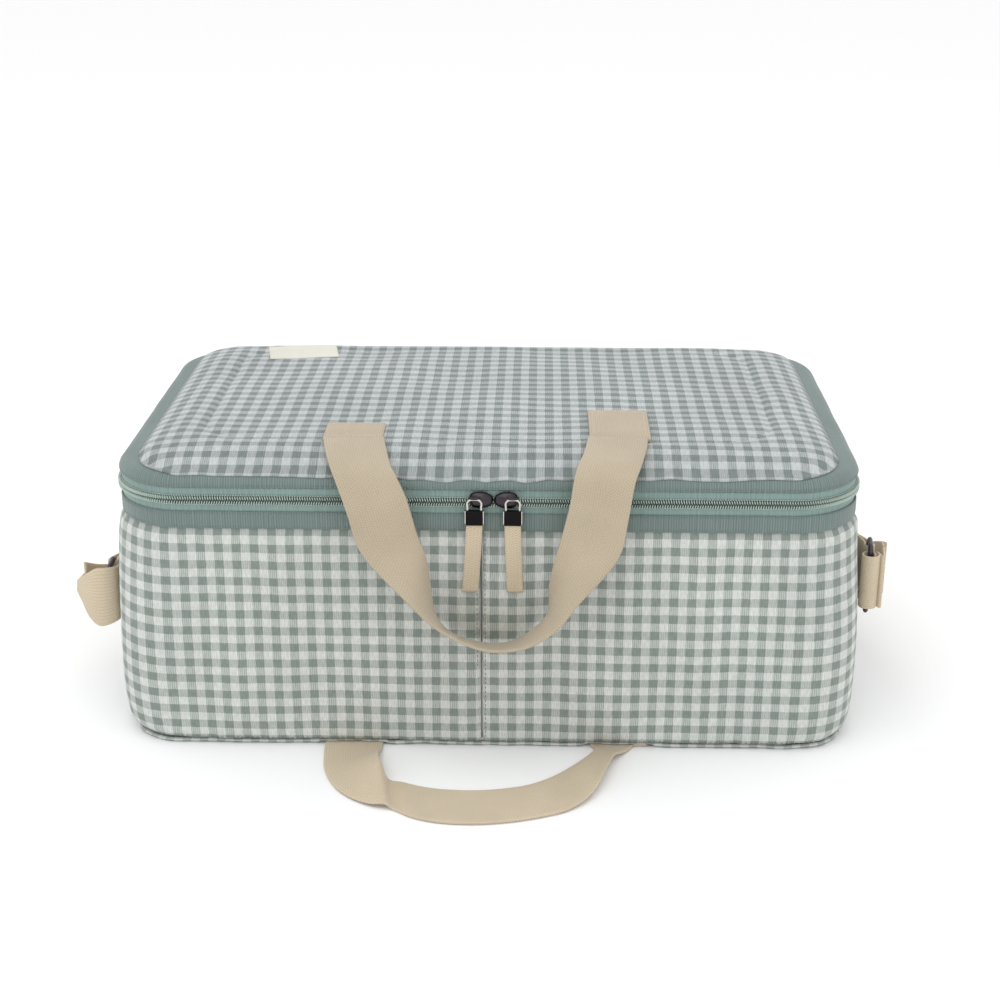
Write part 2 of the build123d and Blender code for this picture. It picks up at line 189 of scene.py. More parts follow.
def hoop(along, offset, height):
    """A section carried round the plan: offset and height for each place along and in the section."""
    along, offset, height = np.broadcast_arrays(along, offset, height)
    x, y, _, _ = outline(along, offset)
    return np.stack([x, y, height], -1)


def inset_from_edge(x, y):
    """Distance inwards from the plan's edge: the rounded rectangle's signed distance, turned positive."""
    return -rounded_distance(x, y, HALF_WIDTH, HALF_DEPTH, CORNER)


def rounded_distance(x, y, half_x, half_y, corner):
    """Signed distance to a rounded rectangle: length of the overshoot past the inner rectangle, less
    the corner."""
    over_x, over_y = np.abs(x) - half_x + corner, np.abs(y) - half_y + corner
    outside = np.hypot(np.maximum(over_x, 0), np.maximum(over_y, 0))
    return outside + np.minimum(np.maximum(over_x, over_y), 0) - corner


def waves(u, v, size, seed, count=14):
    """Soft random waves from -1 to 1: a mean of sines in random directions, with lengths about one size."""
    dice = np.random.default_rng(seed)
    turn = dice.uniform(0, 2 * math.pi, count)
    pace = 2 * math.pi / (size * dice.uniform(0.7, 1.6, count))
    phase = dice.uniform(0, 2 * math.pi, count)
    total = 0
    for angle, rate, start in zip(turn, pace, phase):
        total = total + np.sin(rate * (u * math.cos(angle) + v * math.sin(angle)) + start)
    return total / math.sqrt(count)


def fade(value, low, high):
    """0 below low, 1 above high, and a smooth S between."""
    t = np.clip((value - low) / (high - low), 0, 1)
    return t * t * (3 - 2 * t)


def bell(distance, width):
    """A smooth hump: e to the minus square of distance over width."""
    return np.exp(-((distance / width) ** 2))


def seam_distance(along):
    """Distance along the wall to the nearer of the front and back seams."""
    front = np.abs(np.mod(along - SEAM_X + PERIMETER / 2, PERIMETER) - PERIMETER / 2)
    back = np.abs(np.mod(along - BACK_SEAM + PERIMETER / 2, PERIMETER) - PERIMETER / 2)
    return np.minimum(front, back)


def wall_offset(along, height):
    """How far the wall stands out from the plan at a place along and a height.

    Foam pushes it out as a sine belly, more at the sides. Waves ride on that, short gathers sit next
    to the ribbon and the hem, the seams pinch it in as bells, and it rolls under at the hem.
    """
    cloth = bpy.context.scene.cooler_cloth
    level = np.clip((height - HEM_TOP) / (WALL_TOP - HEM_TOP), 0, 1)
    _, _, out_x, out_y = outline(along)
    belly = np.sin(math.pi * level**0.58) ** 0.5
    corner = 4 * out_x**2 * out_y**2
    bulge = cloth.front_bulge + (
        cloth.side_bulge - cloth.front_bulge
    ) * out_x**2 + (1.2 + 4.6 * (1 - level)) * MM * corner
    soft = waves(along, height, 95 * MM, 3) * cloth.wave + waves(
        along, height * 0.4, 38 * MM, 5
    ) * 0.35 * cloth.wave
    gather = waves(along, 0 * height, 13 * MM, 8)
    near_top, near_hem = bell(height - BAND_LOW + 1 * MM, 9 * MM), bell(height - HEM_TOP, 8 * MM)
    sides = fade(height, HEM_TOP, HEM_TOP + 14 * MM) * fade(-height, -BAND_LOW, -BAND_LOW + 16 * MM)
    roll = -1.8 * MM * (1 - fade(height, HEM_TOP - 2 * MM, HEM_TOP + 8 * MM))
    pinch = -1.3 * MM * bell(seam_distance(along), 2.2 * MM) * fade(-height, -BAND_LOW, -BAND_LOW + 5 * MM)
    tuck = fade(-height, -BAND_LOW - 0.5 * MM, -BAND_LOW + 6 * MM)
    stand = bulge * belly + soft * sides + 0.4 * MM * gather * (near_top + 1.2 * near_hem)
    return (stand + 0.2 * MM) * tuck + roll + pinch - 0.2 * MM


def wall_place(along, height, lift=0.0):
    """A point on the wall, and the direction out of it."""
    x, y, out_x, out_y = outline(along, wall_offset(along, height) + lift)
    z = np.broadcast_to(height, np.shape(x))
    return np.stack([x, y, z], -1), np.stack([out_x, out_y, 0 * out_x], -1)


def lid_height(x, y):
    """Height of the lid's top at a place.

    From the band it rises as one minus a power of the way to the crown, a bell-shaped groove runs
    along the quilting line, the middle swells as a cosine, and waves and two front folds ride on it.
    """
    inset = inset_from_edge(x, y)
    rise = np.clip((inset - BAND_INSET) / (34 * MM), 0, 1)
    quilt = rounded_distance(x - CROWN_X, y - CROWN_Y, *CROWN_HALF, CROWN_CORNER)
    edge = LID_EDGE - 0.6 * MM
    top = LID_TOP - 1.4 * MM - edge
    body = edge + top * (1 - (1 - rise) ** 2.6)
    puff = 0.7 * MM * bell(quilt - 13 * MM, 9 * MM) * fade(inset, 10 * MM, 22 * MM)
    groove = -1.0 * MM * bell(quilt, 2.0 * MM) - 0.25 * MM * bell(quilt, 7 * MM)
    middle = 1.8 * MM * np.cos(
        np.clip(x / HALF_WIDTH, -1, 1) * 1.5
    ) * np.cos(np.clip(y / HALF_DEPTH, -1, 1) * 1.5)
    soft = 0.55 * MM * waves(x, y * 1.4, 85 * MM, 12) * fade(inset, 12 * MM, 40 * MM)
    front = bell(y + 112 * MM, 14 * MM)
    fold = waves(x * 0.25, y, 13 * MM, 21) * 0.8 * MM * front * bell(x, 60 * MM)
    return body + puff + groove + middle + soft + fold


def plan_grid(half_x, half_y, corner, step):
    """An even grid bent to a rounded rectangle.

    Inside a corner's square, with u and v from 0 to 1 on its sides, the point moves to u times the root of
    one minus half v squared, and the same with u and v exchanged, which turns the square into a
    quarter circle. Everywhere else it stays.
    """
    across = np.linspace(-half_x, half_x, int(2 * half_x / step) + 1)
    deep = np.linspace(-half_y, half_y, int(2 * half_y / step) + 1)
    x, y = np.meshgrid(across, deep, indexing="ij")
    u = np.clip((np.abs(x) - half_x + corner) / corner, 0, 1)
    v = np.clip((np.abs(y) - half_y + corner) / corner, 0, 1)
    move_u = u * np.sqrt(1 - v * v / 2) - u
    move_v = v * np.sqrt(1 - u * u / 2) - v
    return x + np.sign(x) * move_u * corner, y + np.sign(y) * move_v * corner


def smooth_line(points, count):
    """A curve through every point, and how far along each of its places is.

    Between neighbours it is a cubic, whose slope at a point is the mean of the slopes of the two runs
    that meet there, each weighted by the other's length.
    """
    points = np.asarray(points, float)
    runs = np.linalg.norm(np.diff(points[:, :3], axis=0), axis=1)
    knots = np.concatenate([[0], np.cumsum(runs)])
    slope = np.diff(points, axis=0) / runs[:, None]
    before, after = runs[:-1, None], runs[1:, None]
    inner = (slope[:-1] * after + slope[1:] * before) / (before + after)
    tangent = np.concatenate([slope[:1], inner, slope[-1:]])
    at = np.linspace(0, knots[-1], count)
    k = np.clip(np.searchsorted(knots, at, side="right") - 1, 0, len(runs) - 1)
    t = ((at - knots[k]) / runs[k])[:, None]
    step = runs[k][:, None]
    start = (2 * t**3 - 3 * t**2 + 1) * points[k] + (t**3 - 2 * t**2 + t) * step * tangent[k]
    end = (3 * t**2 - 2 * t**3) * points[k + 1] + (t**3 - t**2) * step * tangent[k + 1]
    return start + end


def unit(vectors):
    """Vectors at length one."""
    return vectors / np.maximum(np.linalg.norm(vectors, axis=-1, keepdims=True), 1e-12)


def distances(points):
    """Distance travelled along a row of points."""
    return np.concatenate([[0], np.cumsum(np.linalg.norm(np.diff(points, axis=0), axis=1))])


class Workpiece:
    """Gathers the surfaces of one piece, with the cloth's own flat coordinates, until it becomes a mesh."""

    def __init__(self):
        """Starts empty."""
        self.points, self.faces, self.cloth, self.paint = [], [], [], []
        self.count = 0

    def keep(self, points, faces, cloth, paint):
        """Adds points, and faces of one size that count from the first of them."""
        self.faces.append(faces + self.count)
        self.cloth.append(cloth)
        self.paint.append(np.full(len(faces), paint))
        if points is not None:
            self.points.append(points)

    def grid(self, points, cloth, wrap=(False, False), flip=False, paint=0, caps=False):
        """Adds a grid, whose outward side is row direction cross column direction. Wrapped sides close."""
        rows, columns = points.shape[:2]
        index = np.arange(rows * columns).reshape(rows, columns)
        if wrap[0]:
            index = np.vstack([index, index[:1]])
        if wrap[1]:
            index = np.hstack([index, index[:, :1]])
        turn = [0, 3, 2, 1] if flip else [0, 1, 2, 3]
        quads = np.stack(
            [index[:-1, :-1], index[1:, :-1], index[1:, 1:], index[:-1, 1:]], -1
        ).reshape(-1, 4)
        spread = np.stack(
            [cloth[:-1, :-1], cloth[1:, :-1], cloth[1:, 1:], cloth[:-1, 1:]], 2
        ).reshape(-1, 4, 2)
        flat = points.reshape(-1, 3)
        self.keep(None, quads[:, turn], spread[:, turn], paint)
        if caps:
            ends = np.stack([points[0].mean(0), points[-1].mean(0)])
            flat = np.vstack([flat, ends])
            for end, row, order in ((0, 0, (0, 1, 2)), (1, -1, (0, 2, 1))):
                ring, middle = index[row], np.full(len(index[row]) - 1, rows * columns + end)
                fan = np.stack([middle, ring[:-1], ring[1:]], -1)
                mean = np.broadcast_to(cloth[row].mean(0), (len(fan), 2))
                corners = np.stack([mean, cloth[row][:-1], cloth[row][1:]], 1)
                order = list(order) if not flip else list(order)[::-1]
                self.keep(None, fan[:, order], corners[:, order], paint)
        self.points.append(flat)
        self.count += len(flat)

    def scatter(self, shape, origins, axes, cloth, paint=0):
        """Adds one small shape many times: each point is its origin plus the shape's point times its
        axes."""
        points, groups = shape
        placed = origins[:, None] + np.einsum("kc,ncd->nkd", points, axes)
        starts = np.arange(len(origins))[:, None, None] * len(points)
        for faces in groups:
            many = (faces[None] + starts).reshape(-1, faces.shape[1])
            spread = np.repeat(cloth, len(faces), axis=0)[:, None].repeat(faces.shape[1], axis=1)
            self.keep(None, many, spread, paint)
        self.points.append(placed.reshape(-1, 3))
        self.count += placed.shape[0] * placed.shape[1]

    def finish(self, name, finishes, body, nodes=(), slot=None):
        """Makes the mesh and its object, shades it smooth, hangs it under its body's empty if it has one, and hides
        the parts it stands for.
        """
        faces = [face for group in self.faces for face in group.tolist()]
        mesh = bpy.data.meshes.new(name)
        mesh.from_pydata(np.concatenate(self.points).tolist(), [], faces)
        layer = mesh.uv_layers.new(name="cloth")
        layer.data.foreach_set("uv", np.concatenate([c.reshape(-1) for c in self.cloth]).astype(np.float32))
        mesh.polygons.foreach_set("material_index", np.concatenate(self.paint).astype(np.int32))
        mesh.polygons.foreach_set("use_smooth", np.ones(len(faces), bool))
        for finish in finishes:
            mesh.materials.append(finish)
        mesh.update()
        piece = bpy.data.objects.new(name, mesh)
        bpy.context.scene.collection.objects.link(piece)
        if body:
            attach(piece, body)
        if nodes:
            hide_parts(*nodes)
        return piece


def bead(sides=6, rings=4):
    """A unit ball: rings of points at even angles from pole to pole, closed by fans."""
    angle = np.linspace(0, math.pi, rings + 1)[1:-1]
    turn = np.arange(sides) * 2 * math.pi / sides
    ring = np.stack(
        [
            np.repeat(np.cos(angle), sides),
            np.outer(np.sin(angle), np.cos(turn)).ravel(),
            np.outer(np.sin(angle), np.sin(turn)).ravel(),
        ],
        -1,
    )
    points = np.vstack([ring, [[1, 0, 0], [-1, 0, 0]]])
    here = np.arange(sides)
    after = (here + 1) % sides
    count = len(angle)
    quads = np.concatenate(
        [np.stack([k * sides + here, (k + 1) * sides + here, (k + 1) * sides + after, k * sides + after], -1)
         for k in range(count - 1)]
    )
    first = np.stack([np.full(sides, count * sides), here, after], -1)
    last = np.stack(
        [np.full(sides, count * sides + 1), (count - 1) * sides + after, (count - 1) * sides + here], -1
    )
    return points, (quads, np.concatenate([first, last]))


def round_section(work, path, out, half_out, half_side, sides=12, paint=0, wrap=False):
    """A tube: an ellipse of two half sizes carried along a path, one axis of it along the given
    direction."""
    path, out = np.asarray(path, float), np.asarray(out, float)
    ahead = np.gradient(path, axis=0)
    if wrap:
        ahead = np.roll(path, -1, axis=0) - np.roll(path, 1, axis=0)
    ahead = unit(ahead)
    side = unit(np.cross(ahead, out))
    up = np.cross(side, ahead)
    turn = np.arange(sides) * 2 * math.pi / sides
    points = (
        path[:, None]
        + up[:, None] * np.cos(turn)[None, :, None] * np.reshape(half_out, (-1, 1, 1))
        + side[:, None] * np.sin(turn)[None, :, None] * np.reshape(half_side, (-1, 1, 1))
    )
    rows = len(path) + (1 if wrap else 0)
    run = distances(np.vstack([path, path[:1]]) if wrap else path)[:rows]
    girth = np.linspace(0, 2 * math.pi * np.mean(half_side), sides + 1)
    cloth = np.stack(np.broadcast_arrays(girth[None], run[:, None]), -1)
    work.grid(points, cloth, wrap=(wrap, True), flip=True, paint=paint, caps=not wrap)


def flat_section(columns, edge):
    """Places in a strap's section: across from 0 to 1, and height from -1 to 1, with rounded edges."""
    face = np.linspace(edge, 1 - edge, columns)
    side = np.array([0.35, 0.0, 0.35]) * edge
    lift = np.array([0.7, 0.0, -0.7])
    across = np.concatenate([face, 1 - side, face[::-1], side[::-1]])
    height = np.concatenate([np.ones(columns), lift, -np.ones(columns), lift[::-1]])
    return across, height


def ribbon(work, edge_a, edge_b, thickness, crown=0.0, columns=13, step=2 * MM, paint=0):
    """Webbing between two lines of edge points.

    Each edge is a smooth curve. Between them the middle surface is a straight blend plus a crown of
    4 w (1 - w), and the two faces stand half a thickness off it on each side.
    """
    edges = np.hstack([np.asarray(edge_a, float), np.asarray(edge_b, float)])
    centre = (edges[:, :3] + edges[:, 3:6]) / 2
    extra = np.broadcast_to(np.reshape(crown, (-1, 1)), (len(edges), 1))
    count = max(int(distances(centre)[-1] / step), 4)
    line = smooth_line(np.hstack([centre, edges, extra]), count)
    a, b, crown_line = line[:, 3:6], line[:, 6:9], line[:, 9]
    width = np.linalg.norm(b - a, axis=1).mean()
    across, height = flat_section(columns, thickness / 2 / width)
    face = unit(np.cross(np.gradient(line[:, :3], axis=0), b - a))
    swell = 4 * across * (1 - across)
    middle = a[:, None] + (b - a)[:, None] * across[None, :, None]
    middle = middle + face[:, None] * (crown_line[:, None] * swell[None])[..., None]
    slope = (b - a)[:, None] + face[:, None] * (crown_line[:, None] * 4 * (1 - 2 * across)[None])[..., None]
    normal = unit(np.cross(np.gradient(middle, axis=0), slope))
    points = middle + normal * height[None, :, None] * thickness / 2
    run = distances(line[:, :3])
    u = np.append(across, across[0]) - 0.5
    cloth = np.stack(np.broadcast_arrays(u[None] * width, run[:, None]), -1)
    work.grid(points, cloth, wrap=(False, True), paint=paint, caps=True)
    return run[-1]


def strip_section(low, high, outside, inside, bulge=0.0, count=7):
    """Two lines of a strip's section between two heights: the outer swells as a sine, edges are eased."""
    t = np.linspace(0, 1, count)
    z = low + (high - low) * t
    ease = 1 - (2 * t - 1) ** 10 * 0.5
    middle = (outside + inside) / 2
    outer = np.stack([middle + (outside - middle) * ease + bulge * np.sin(math.pi * t), z], -1)
    inner = np.stack([middle + (inside - middle) * ease, z], -1)
    return outer, inner


def sew(work, line, up, paint=0, thickness=0.55 * MM, stitch=None, gap=None):
    """Stitches along a line: one long bead each, half sunk in the cloth."""
    trim = bpy.context.scene.cooler_trim
    stitch, gap = stitch or trim.stitch, gap or trim.stitch_gap
    travel = distances(line)
    count = max(int(travel[-1] / (stitch + gap)), 1)
    at = (np.arange(count) + 0.5) / count * travel[-1]
    spot = np.stack([np.interp(at, travel, line[:, k]) for k in range(3)], -1)
    ahead = np.stack([np.interp(at + stitch / 2, travel, line[:, k]) for k in range(3)], -1)
    behind = np.stack([np.interp(at - stitch / 2, travel, line[:, k]) for k in range(3)], -1)
    out = unit(np.stack([np.interp(at, travel, up[:, k]) for k in range(3)], -1))
    run = unit(ahead - behind)
    side = np.cross(out, run)
    axes = np.stack([run * stitch / 2, side * thickness / 2, out * thickness / 2], 1)
    work.scatter(bead(5, 3), spot, axes, np.stack([at, 0 * at], -1), paint)


# ---- finishes ---------------------------------------------------------------------------


class Recipe:
    """Places nodes in a tree and joins them, a socket to a socket or a plain value."""

    def __init__(self, tree):
        """Works on one tree."""
        self.tree = tree

    def node(self, kind, inputs=(), **settings):
        """One node, its settings, and what feeds its inputs by name or number."""
        made = self.tree.nodes.new(kind)
        for name, value in settings.items():
            setattr(made, name, value)
        for key, value in dict(inputs).items():
            self.feed(made.inputs[key], value)
        return made

    def feed(self, socket, value):
        """Links a socket, or sets its value."""
        if isinstance(value, bpy.types.NodeSocket):
            self.tree.links.new(value, socket)
        else:
            socket.default_value = value

    def math(self, operation, *values):
        """A Math node's result."""
        return self.node("ShaderNodeMath", enumerate(values), operation=operation).outputs[0]

    def split(self, vector):
        """X and Y of a vector."""
        parts = self.node("ShaderNodeSeparateXYZ", {0: vector})
        return parts.outputs[0], parts.outputs[1]

    def join(self, x, y):
        """A vector of two values."""
        return self.node("ShaderNodeCombineXYZ", {0: x, 1: y}).outputs[0]

    def noise(self, vector, scale, detail=2.0):
        """Noise from 0 to 1."""
        made = self.node("ShaderNodeTexNoise", {"Vector": vector, "Scale": scale, "Detail": detail})
        return made.outputs["Fac"]

    def ramp(self, value, low, high, to_low=0.0, to_high=1.0):
        """A value carried smoothly from one range to another, and held at its ends."""
        made = self.node(
            "ShaderNodeMapRange", {
                0: value, 1: low, 2: high, 3: to_low, 4: to_high
            }, interpolation_type="SMOOTHSTEP"
        )
        return made.outputs[0]

    def blend(self, factor, a, b, kind="MIX"):
        """Two colours mixed."""
        made = self.node("ShaderNodeMix", data_type="RGBA", blend_type=kind)
        self.feed(made.inputs[0], factor)
        self.feed(made.inputs[6], a)
        self.feed(made.inputs[7], b)
        return made.outputs[2]

    def wave(self, value, distance):
        """A sine of one period each distance."""
        return self.math("SINE", self.math("MULTIPLY", self.math("DIVIDE", value, distance), 2 * math.pi))


def group(name, inputs, outputs, build):
    """A shader node group with named sockets, made once."""
    if name in bpy.data.node_groups:
        return bpy.data.node_groups[name]
    tree = bpy.data.node_groups.new(name, "ShaderNodeTree")
    for label, kind in inputs:
        tree.interface.new_socket(label, in_out="INPUT", socket_type=f"NodeSocket{kind}")
    for label, kind in outputs:
        tree.interface.new_socket(label, in_out="OUTPUT", socket_type=f"NodeSocket{kind}")
    recipe = Recipe(tree)
    source = recipe.node("NodeGroupInput")
    results = build(recipe, *[source.outputs[label] for label, _ in inputs])
    sink = recipe.node("NodeGroupOutput")
    for (label, _), result in zip(outputs, results):
        recipe.feed(sink.inputs[label], result)
    return tree


def gingham_weave():
    """Checks from two sets of stripes: each place shows the warp's or the weft's stripe, as the yarns
    cross."""

    def build(r, cloth, check, yarn, dark, light):
        wander = r.math("MULTIPLY", r.math("SUBTRACT", r.noise(cloth, 260.0), 0.5), 0.0007)
        x, y = r.split(cloth)
        x, y = r.math("ADD", x, wander), r.math("ADD", y, wander)
        stripes = []
        for value in (x, y):
            swing = r.math("PINGPONG", r.math("DIVIDE", value, check), 0.5)
            stripes.append(r.ramp(swing, 0.228, 0.272))
        warp, weft = r.wave(x, yarn), r.wave(y, r.math("MULTIPLY", yarn, 0.8))
        over = r.math(
            "ADD", r.math("MULTIPLY", warp, 0.19), r.math("MULTIPLY", r.math("MULTIPLY", warp, weft), 0.10)
        )
        over = r.math("ADD", over, 0.5)
        shown = r.node("ShaderNodeMix", {0: over, 2: stripes[0], 3: stripes[1]}).outputs[0]
        tint = r.blend(shown, light, dark)
        fleck = r.ramp(r.noise(r.node("ShaderNodeVectorMath", {0: cloth, 1: (1.0, 0.25, 1.0)},
                                      operation="MULTIPLY").outputs[0], 900.0, 3.0), 0.3, 0.7, 0.9, 1.08)
        broad = r.ramp(r.noise(cloth, 14.0, 3.0), 0.3, 0.7, 0.95, 1.04)
        shade = r.math(
            "MULTIPLY", r.math("MULTIPLY", fleck, broad),
            r.math("ADD", 0.97, r.math("MULTIPLY", warp, 0.045))
        )
        grey = r.node("ShaderNodeCombineColor", {0: shade, 1: shade, 2: shade}).outputs[0]
        relief = r.math(
            "ADD", r.math("MULTIPLY", warp, 0.35), r.math("MULTIPLY", r.math("MULTIPLY", warp, weft), 0.4)
        )
        return r.blend(1.0, tint, grey, "MULTIPLY"), r.math("ADD", relief, r.math("MULTIPLY", fleck, 0.8))

    return group(
        "Gingham Weave",
        [("Cloth", "Vector"), ("Check", "Float"), ("Yarn", "Float"), ("Dark", "Color"), ("Light", "Color")],
        [("Color", "Color"), ("Relief", "Float")],
        build,
    )


def ribbon_ribs():
    """Ribs across a run: the sine's size gives each rib a round back and a groove, and the colour is darkened
    towards the groove as painted shade.
    """

    def build(r, cloth, rib, tint, depth):
        x, y = r.split(cloth)
        wander = r.math("MULTIPLY", r.math("SUBTRACT", r.noise(cloth, 420.0), 0.5), 0.0006)
        back = r.math("ABSOLUTE", r.wave(r.math("ADD", x, wander), r.math("MULTIPLY", rib, 2.0)))
        fine = r.math("MULTIPLY", r.wave(y, 0.0006), 0.12)
        round_back = r.math("ADD", r.math("POWER", back, 0.6), fine)
        # The fourth input darkens only the colour towards the grooves, as painted shade; the bump does not use it.
        low = r.math("SUBTRACT", 1.0, depth)
        shade = r.math("ADD", low, r.math("MULTIPLY", depth, round_back))
        streak = r.ramp(r.noise(r.join(x, 0.0), 700.0, 2.0), 0.3, 0.7, 0.88, 1.12)
        broad = r.ramp(r.noise(cloth, 20.0, 3.0), 0.3, 0.7, 0.95, 1.05)
        shade = r.math("MULTIPLY", r.math("MULTIPLY", shade, streak), broad)
        grey = r.node("ShaderNodeCombineColor", {0: shade, 1: shade, 2: shade}).outputs[0]
        return r.blend(1.0, tint, grey, "MULTIPLY"), round_back

    return group(
        "Ribbon Ribs",
        [("Cloth", "Vector"), ("Rib", "Float"), ("Tint", "Color"), ("Depth", "Float")],
        [("Color", "Color"), ("Relief", "Float")],
        build,
    )


def webbing_twill():
    """Cords along the webbing, each crossed by slanted yarns that lean the other way on every second
    cord."""

    def build(r, cloth, cord, tint, slant, groove):
        x, y = r.split(cloth)
        back = r.math("ABSOLUTE", r.wave(x, r.math("MULTIPLY", cord, 2.0)))
        lean = r.math("PINGPONG", r.math("DIVIDE", x, cord), 1.0)
        yarn = r.wave(r.math("ADD", y, r.math("MULTIPLY", r.math("MULTIPLY", lean, cord), 0.9)), 0.0017)
        cords = r.math("MULTIPLY", r.math("POWER", back, 0.5), groove)
        yarns = r.math("MULTIPLY", r.math("ADD", r.math("MULTIPLY", yarn, 0.5), 0.5), slant)
        relief = r.math("ADD", cords, yarns)
        full = r.math("ADD", slant, groove)
        # The colour follows the relief, darker in the grooves between cords and yarns and a little lighter on their
        # tops: painted shade and light.
        shade = r.ramp(r.math("DIVIDE", relief, full), 0.0, 1.0, 0.80, 1.06)
        fibre = r.ramp(r.noise(cloth, 1500.0, 3.0), 0.3, 0.7, 0.93, 1.06)
        broad = r.ramp(r.noise(cloth, 22.0, 3.0), 0.3, 0.7, 0.95, 1.04)
        shade = r.math("MULTIPLY", r.math("MULTIPLY", shade, fibre), broad)
        grey = r.node("ShaderNodeCombineColor", {0: shade, 1: shade, 2: shade}).outputs[0]
        return r.blend(1.0, tint, grey, "MULTIPLY"), relief

    return group(
        "Webbing Twill",
        [
            ("Cloth", "Vector"), ("Cord", "Float"), ("Tint", "Color"), ("Slant", "Float"),
            ("Groove", "Float")
        ],
        [("Color", "Color"), ("Relief", "Float")],
        build,
    )


def grain():
    """Speckle and smudges from noise at two scales, for foam, board, metal and lining."""

    def build(r, place, size, tint, contrast):
        fine = r.noise(place, r.math("DIVIDE", 1.0, size), 4.0)
        broad = r.noise(place, r.math("DIVIDE", 0.12, size), 2.0)
        both = r.math("ADD", r.math("MULTIPLY", fine, 0.6), r.math("MULTIPLY", broad, 0.4))
        shade = r.math("ADD", 1.0, r.math("MULTIPLY", r.math("SUBTRACT", both, 0.5), contrast))
        grey = r.node("ShaderNodeCombineColor", {0: shade, 1: shade, 2: shade}).outputs[0]
        return r.blend(1.0, tint, grey, "MULTIPLY"), fine, both

    return group(
        "Grain",
        [("Place", "Vector"), ("Size", "Float"), ("Tint", "Color"), ("Contrast", "Float")],
        [("Color", "Color"), ("Relief", "Float"), ("Mask", "Float")],
        build,
    )


def tinted(rgb):
    """A colour with full alpha."""
    return (*rgb, 1.0)


def finish(name, make, roughness=0.8, metallic=0.0, sheen=0.0, relief=0.15 * MM, strength=0.6, gloss=0.5):
    """A material: one pattern group feeds the shader's colour and a bump. make gets the recipe and
    both inputs."""
    if name in bpy.data.materials:
        return bpy.data.materials[name]
    material = bpy.data.materials.new(name)
    material.use_nodes = True
    shader = material.node_tree.nodes["Principled BSDF"]
    recipe = Recipe(material.node_tree)
    pattern = make(recipe)
    recipe.feed(shader.inputs["Base Color"], pattern.outputs["Color"])
    shader.inputs["Roughness"].default_value = roughness
    shader.inputs["Metallic"].default_value = metallic
    shader.inputs["Sheen Weight"].default_value = sheen
    shader.inputs["Specular IOR Level"].default_value = gloss
    bump = recipe.node("ShaderNodeBump", {"Strength": strength, "Distance": relief})
    recipe.feed(bump.inputs["Height"], pattern.outputs["Relief"])
    recipe.feed(shader.inputs["Normal"], bump.outputs["Normal"])
    return material


def woven(recipe, tree, **inputs):
    """A pattern group on the piece's own cloth coordinates."""
    made = recipe.node("ShaderNodeGroup", node_tree=tree)
    place = recipe.node("ShaderNodeUVMap", uv_map="cloth").outputs[0]
    if "Cloth" in made.inputs:
        recipe.feed(made.inputs["Cloth"], place)
    for label, value in inputs.items():
        recipe.feed(made.inputs[label], value)
    return made


def grained(recipe, **inputs):
    """The grain group on the object's own coordinates."""
    made = recipe.node("ShaderNodeGroup", node_tree=grain())
    recipe.feed(made.inputs["Place"], recipe.node("ShaderNodeTexCoord").outputs["Object"])
    for label, value in inputs.items():
        recipe.feed(made.inputs[label], value)
    return made


def gingham_finish(name="Gingham", painted_shade_by=(1.0, 1.0, 1.0)):
    """Sage and chalk gingham cloth; the second argument scales both colours down for a darker copy that carries
    painted shade.
    """
    c = bpy.context.scene.cooler_cloth
    # Both colours are multiplied by the factor, which paints shade on a darker copy; the plain cloth keeps one.
    dark, light = (tinted([a * b for a, b in zip(tint, painted_shade_by)]) for tint in (c.sage, c.chalk))
    values = {"Check": c.check, "Yarn": c.yarn, "Dark": dark, "Light": light}
    return finish(name, lambda r: woven(r, gingham_weave(), **values), 0.85, sheen=0.15, relief=0.12 * MM)


def ribbed_finish(name, tint, rib, depth=0.3, relief=0.25 * MM):
    """Grosgrain or zip tape."""
    # depth is the strength of the painted shade in the grooves between ribs.
    values = {"Rib": rib, "Tint": tinted(tint), "Depth": depth}
    return finish(name, lambda r: woven(r, ribbon_ribs(), **values), 0.75, sheen=0.2, relief=relief)


def webbing_finish(name="Webbing", slant=0.5, groove=0.6, cord=None, painted_shade_by=1.0):
    """Cream cotton webbing; the last argument scales the cream down for a darker copy that carries painted shade.
    """
    w = bpy.context.scene.cooler_webbing
    # The cream is multiplied by the last argument, painted shade on the darker copy.
    values = {
        "Cord": cord or w.rib, "Tint": tinted([a * painted_shade_by for a in w.cream]), "Slant": slant,
        "Groove": groove
    }
    return finish(name, lambda r: woven(r, webbing_twill(), **values), 0.9, sheen=0.2, relief=0.3 * MM)


def thread_finish(name, tint):
    """Sewing thread."""
    return finish(
        name, lambda r: grained(r, Size=0.4 * MM, Tint=tinted(tint), Contrast=0.5), 0.6, sheen=0.2
    )


def metal_finish(name, tint, roughness):
    """Plated metal with faint smudges."""
    return finish(
        name, lambda r: grained(r, Size=1.5 * MM, Tint=tinted(tint), Contrast=0.3), roughness, metallic=1.0,
        relief=0.02 * MM, strength=0.2,
    )


def lining_finish():
    """Wipe-clean lining with a soft gloss and fine creases."""
    c = bpy.context.scene.cooler_cloth
    return finish(
        "Lining", lambda r: grained(
            r, Size=9 * MM, Tint=tinted(c.lining), Contrast=0.12
        ), 0.35, relief=0.8 * MM,
        strength=0.35,
    )


def foam_finish():
    """Closed-cell foam."""
    return finish(
        "Foam", lambda r: grained(r, Size=0.9 * MM, Tint=(0.72, 0.72, 0.7, 1), Contrast=0.3), 0.95
    )


def trim_values():
    """The trim's sizes and colours."""
    return bpy.context.scene.cooler_trim


# ---- pieces -----------------------------------------------------------------------------


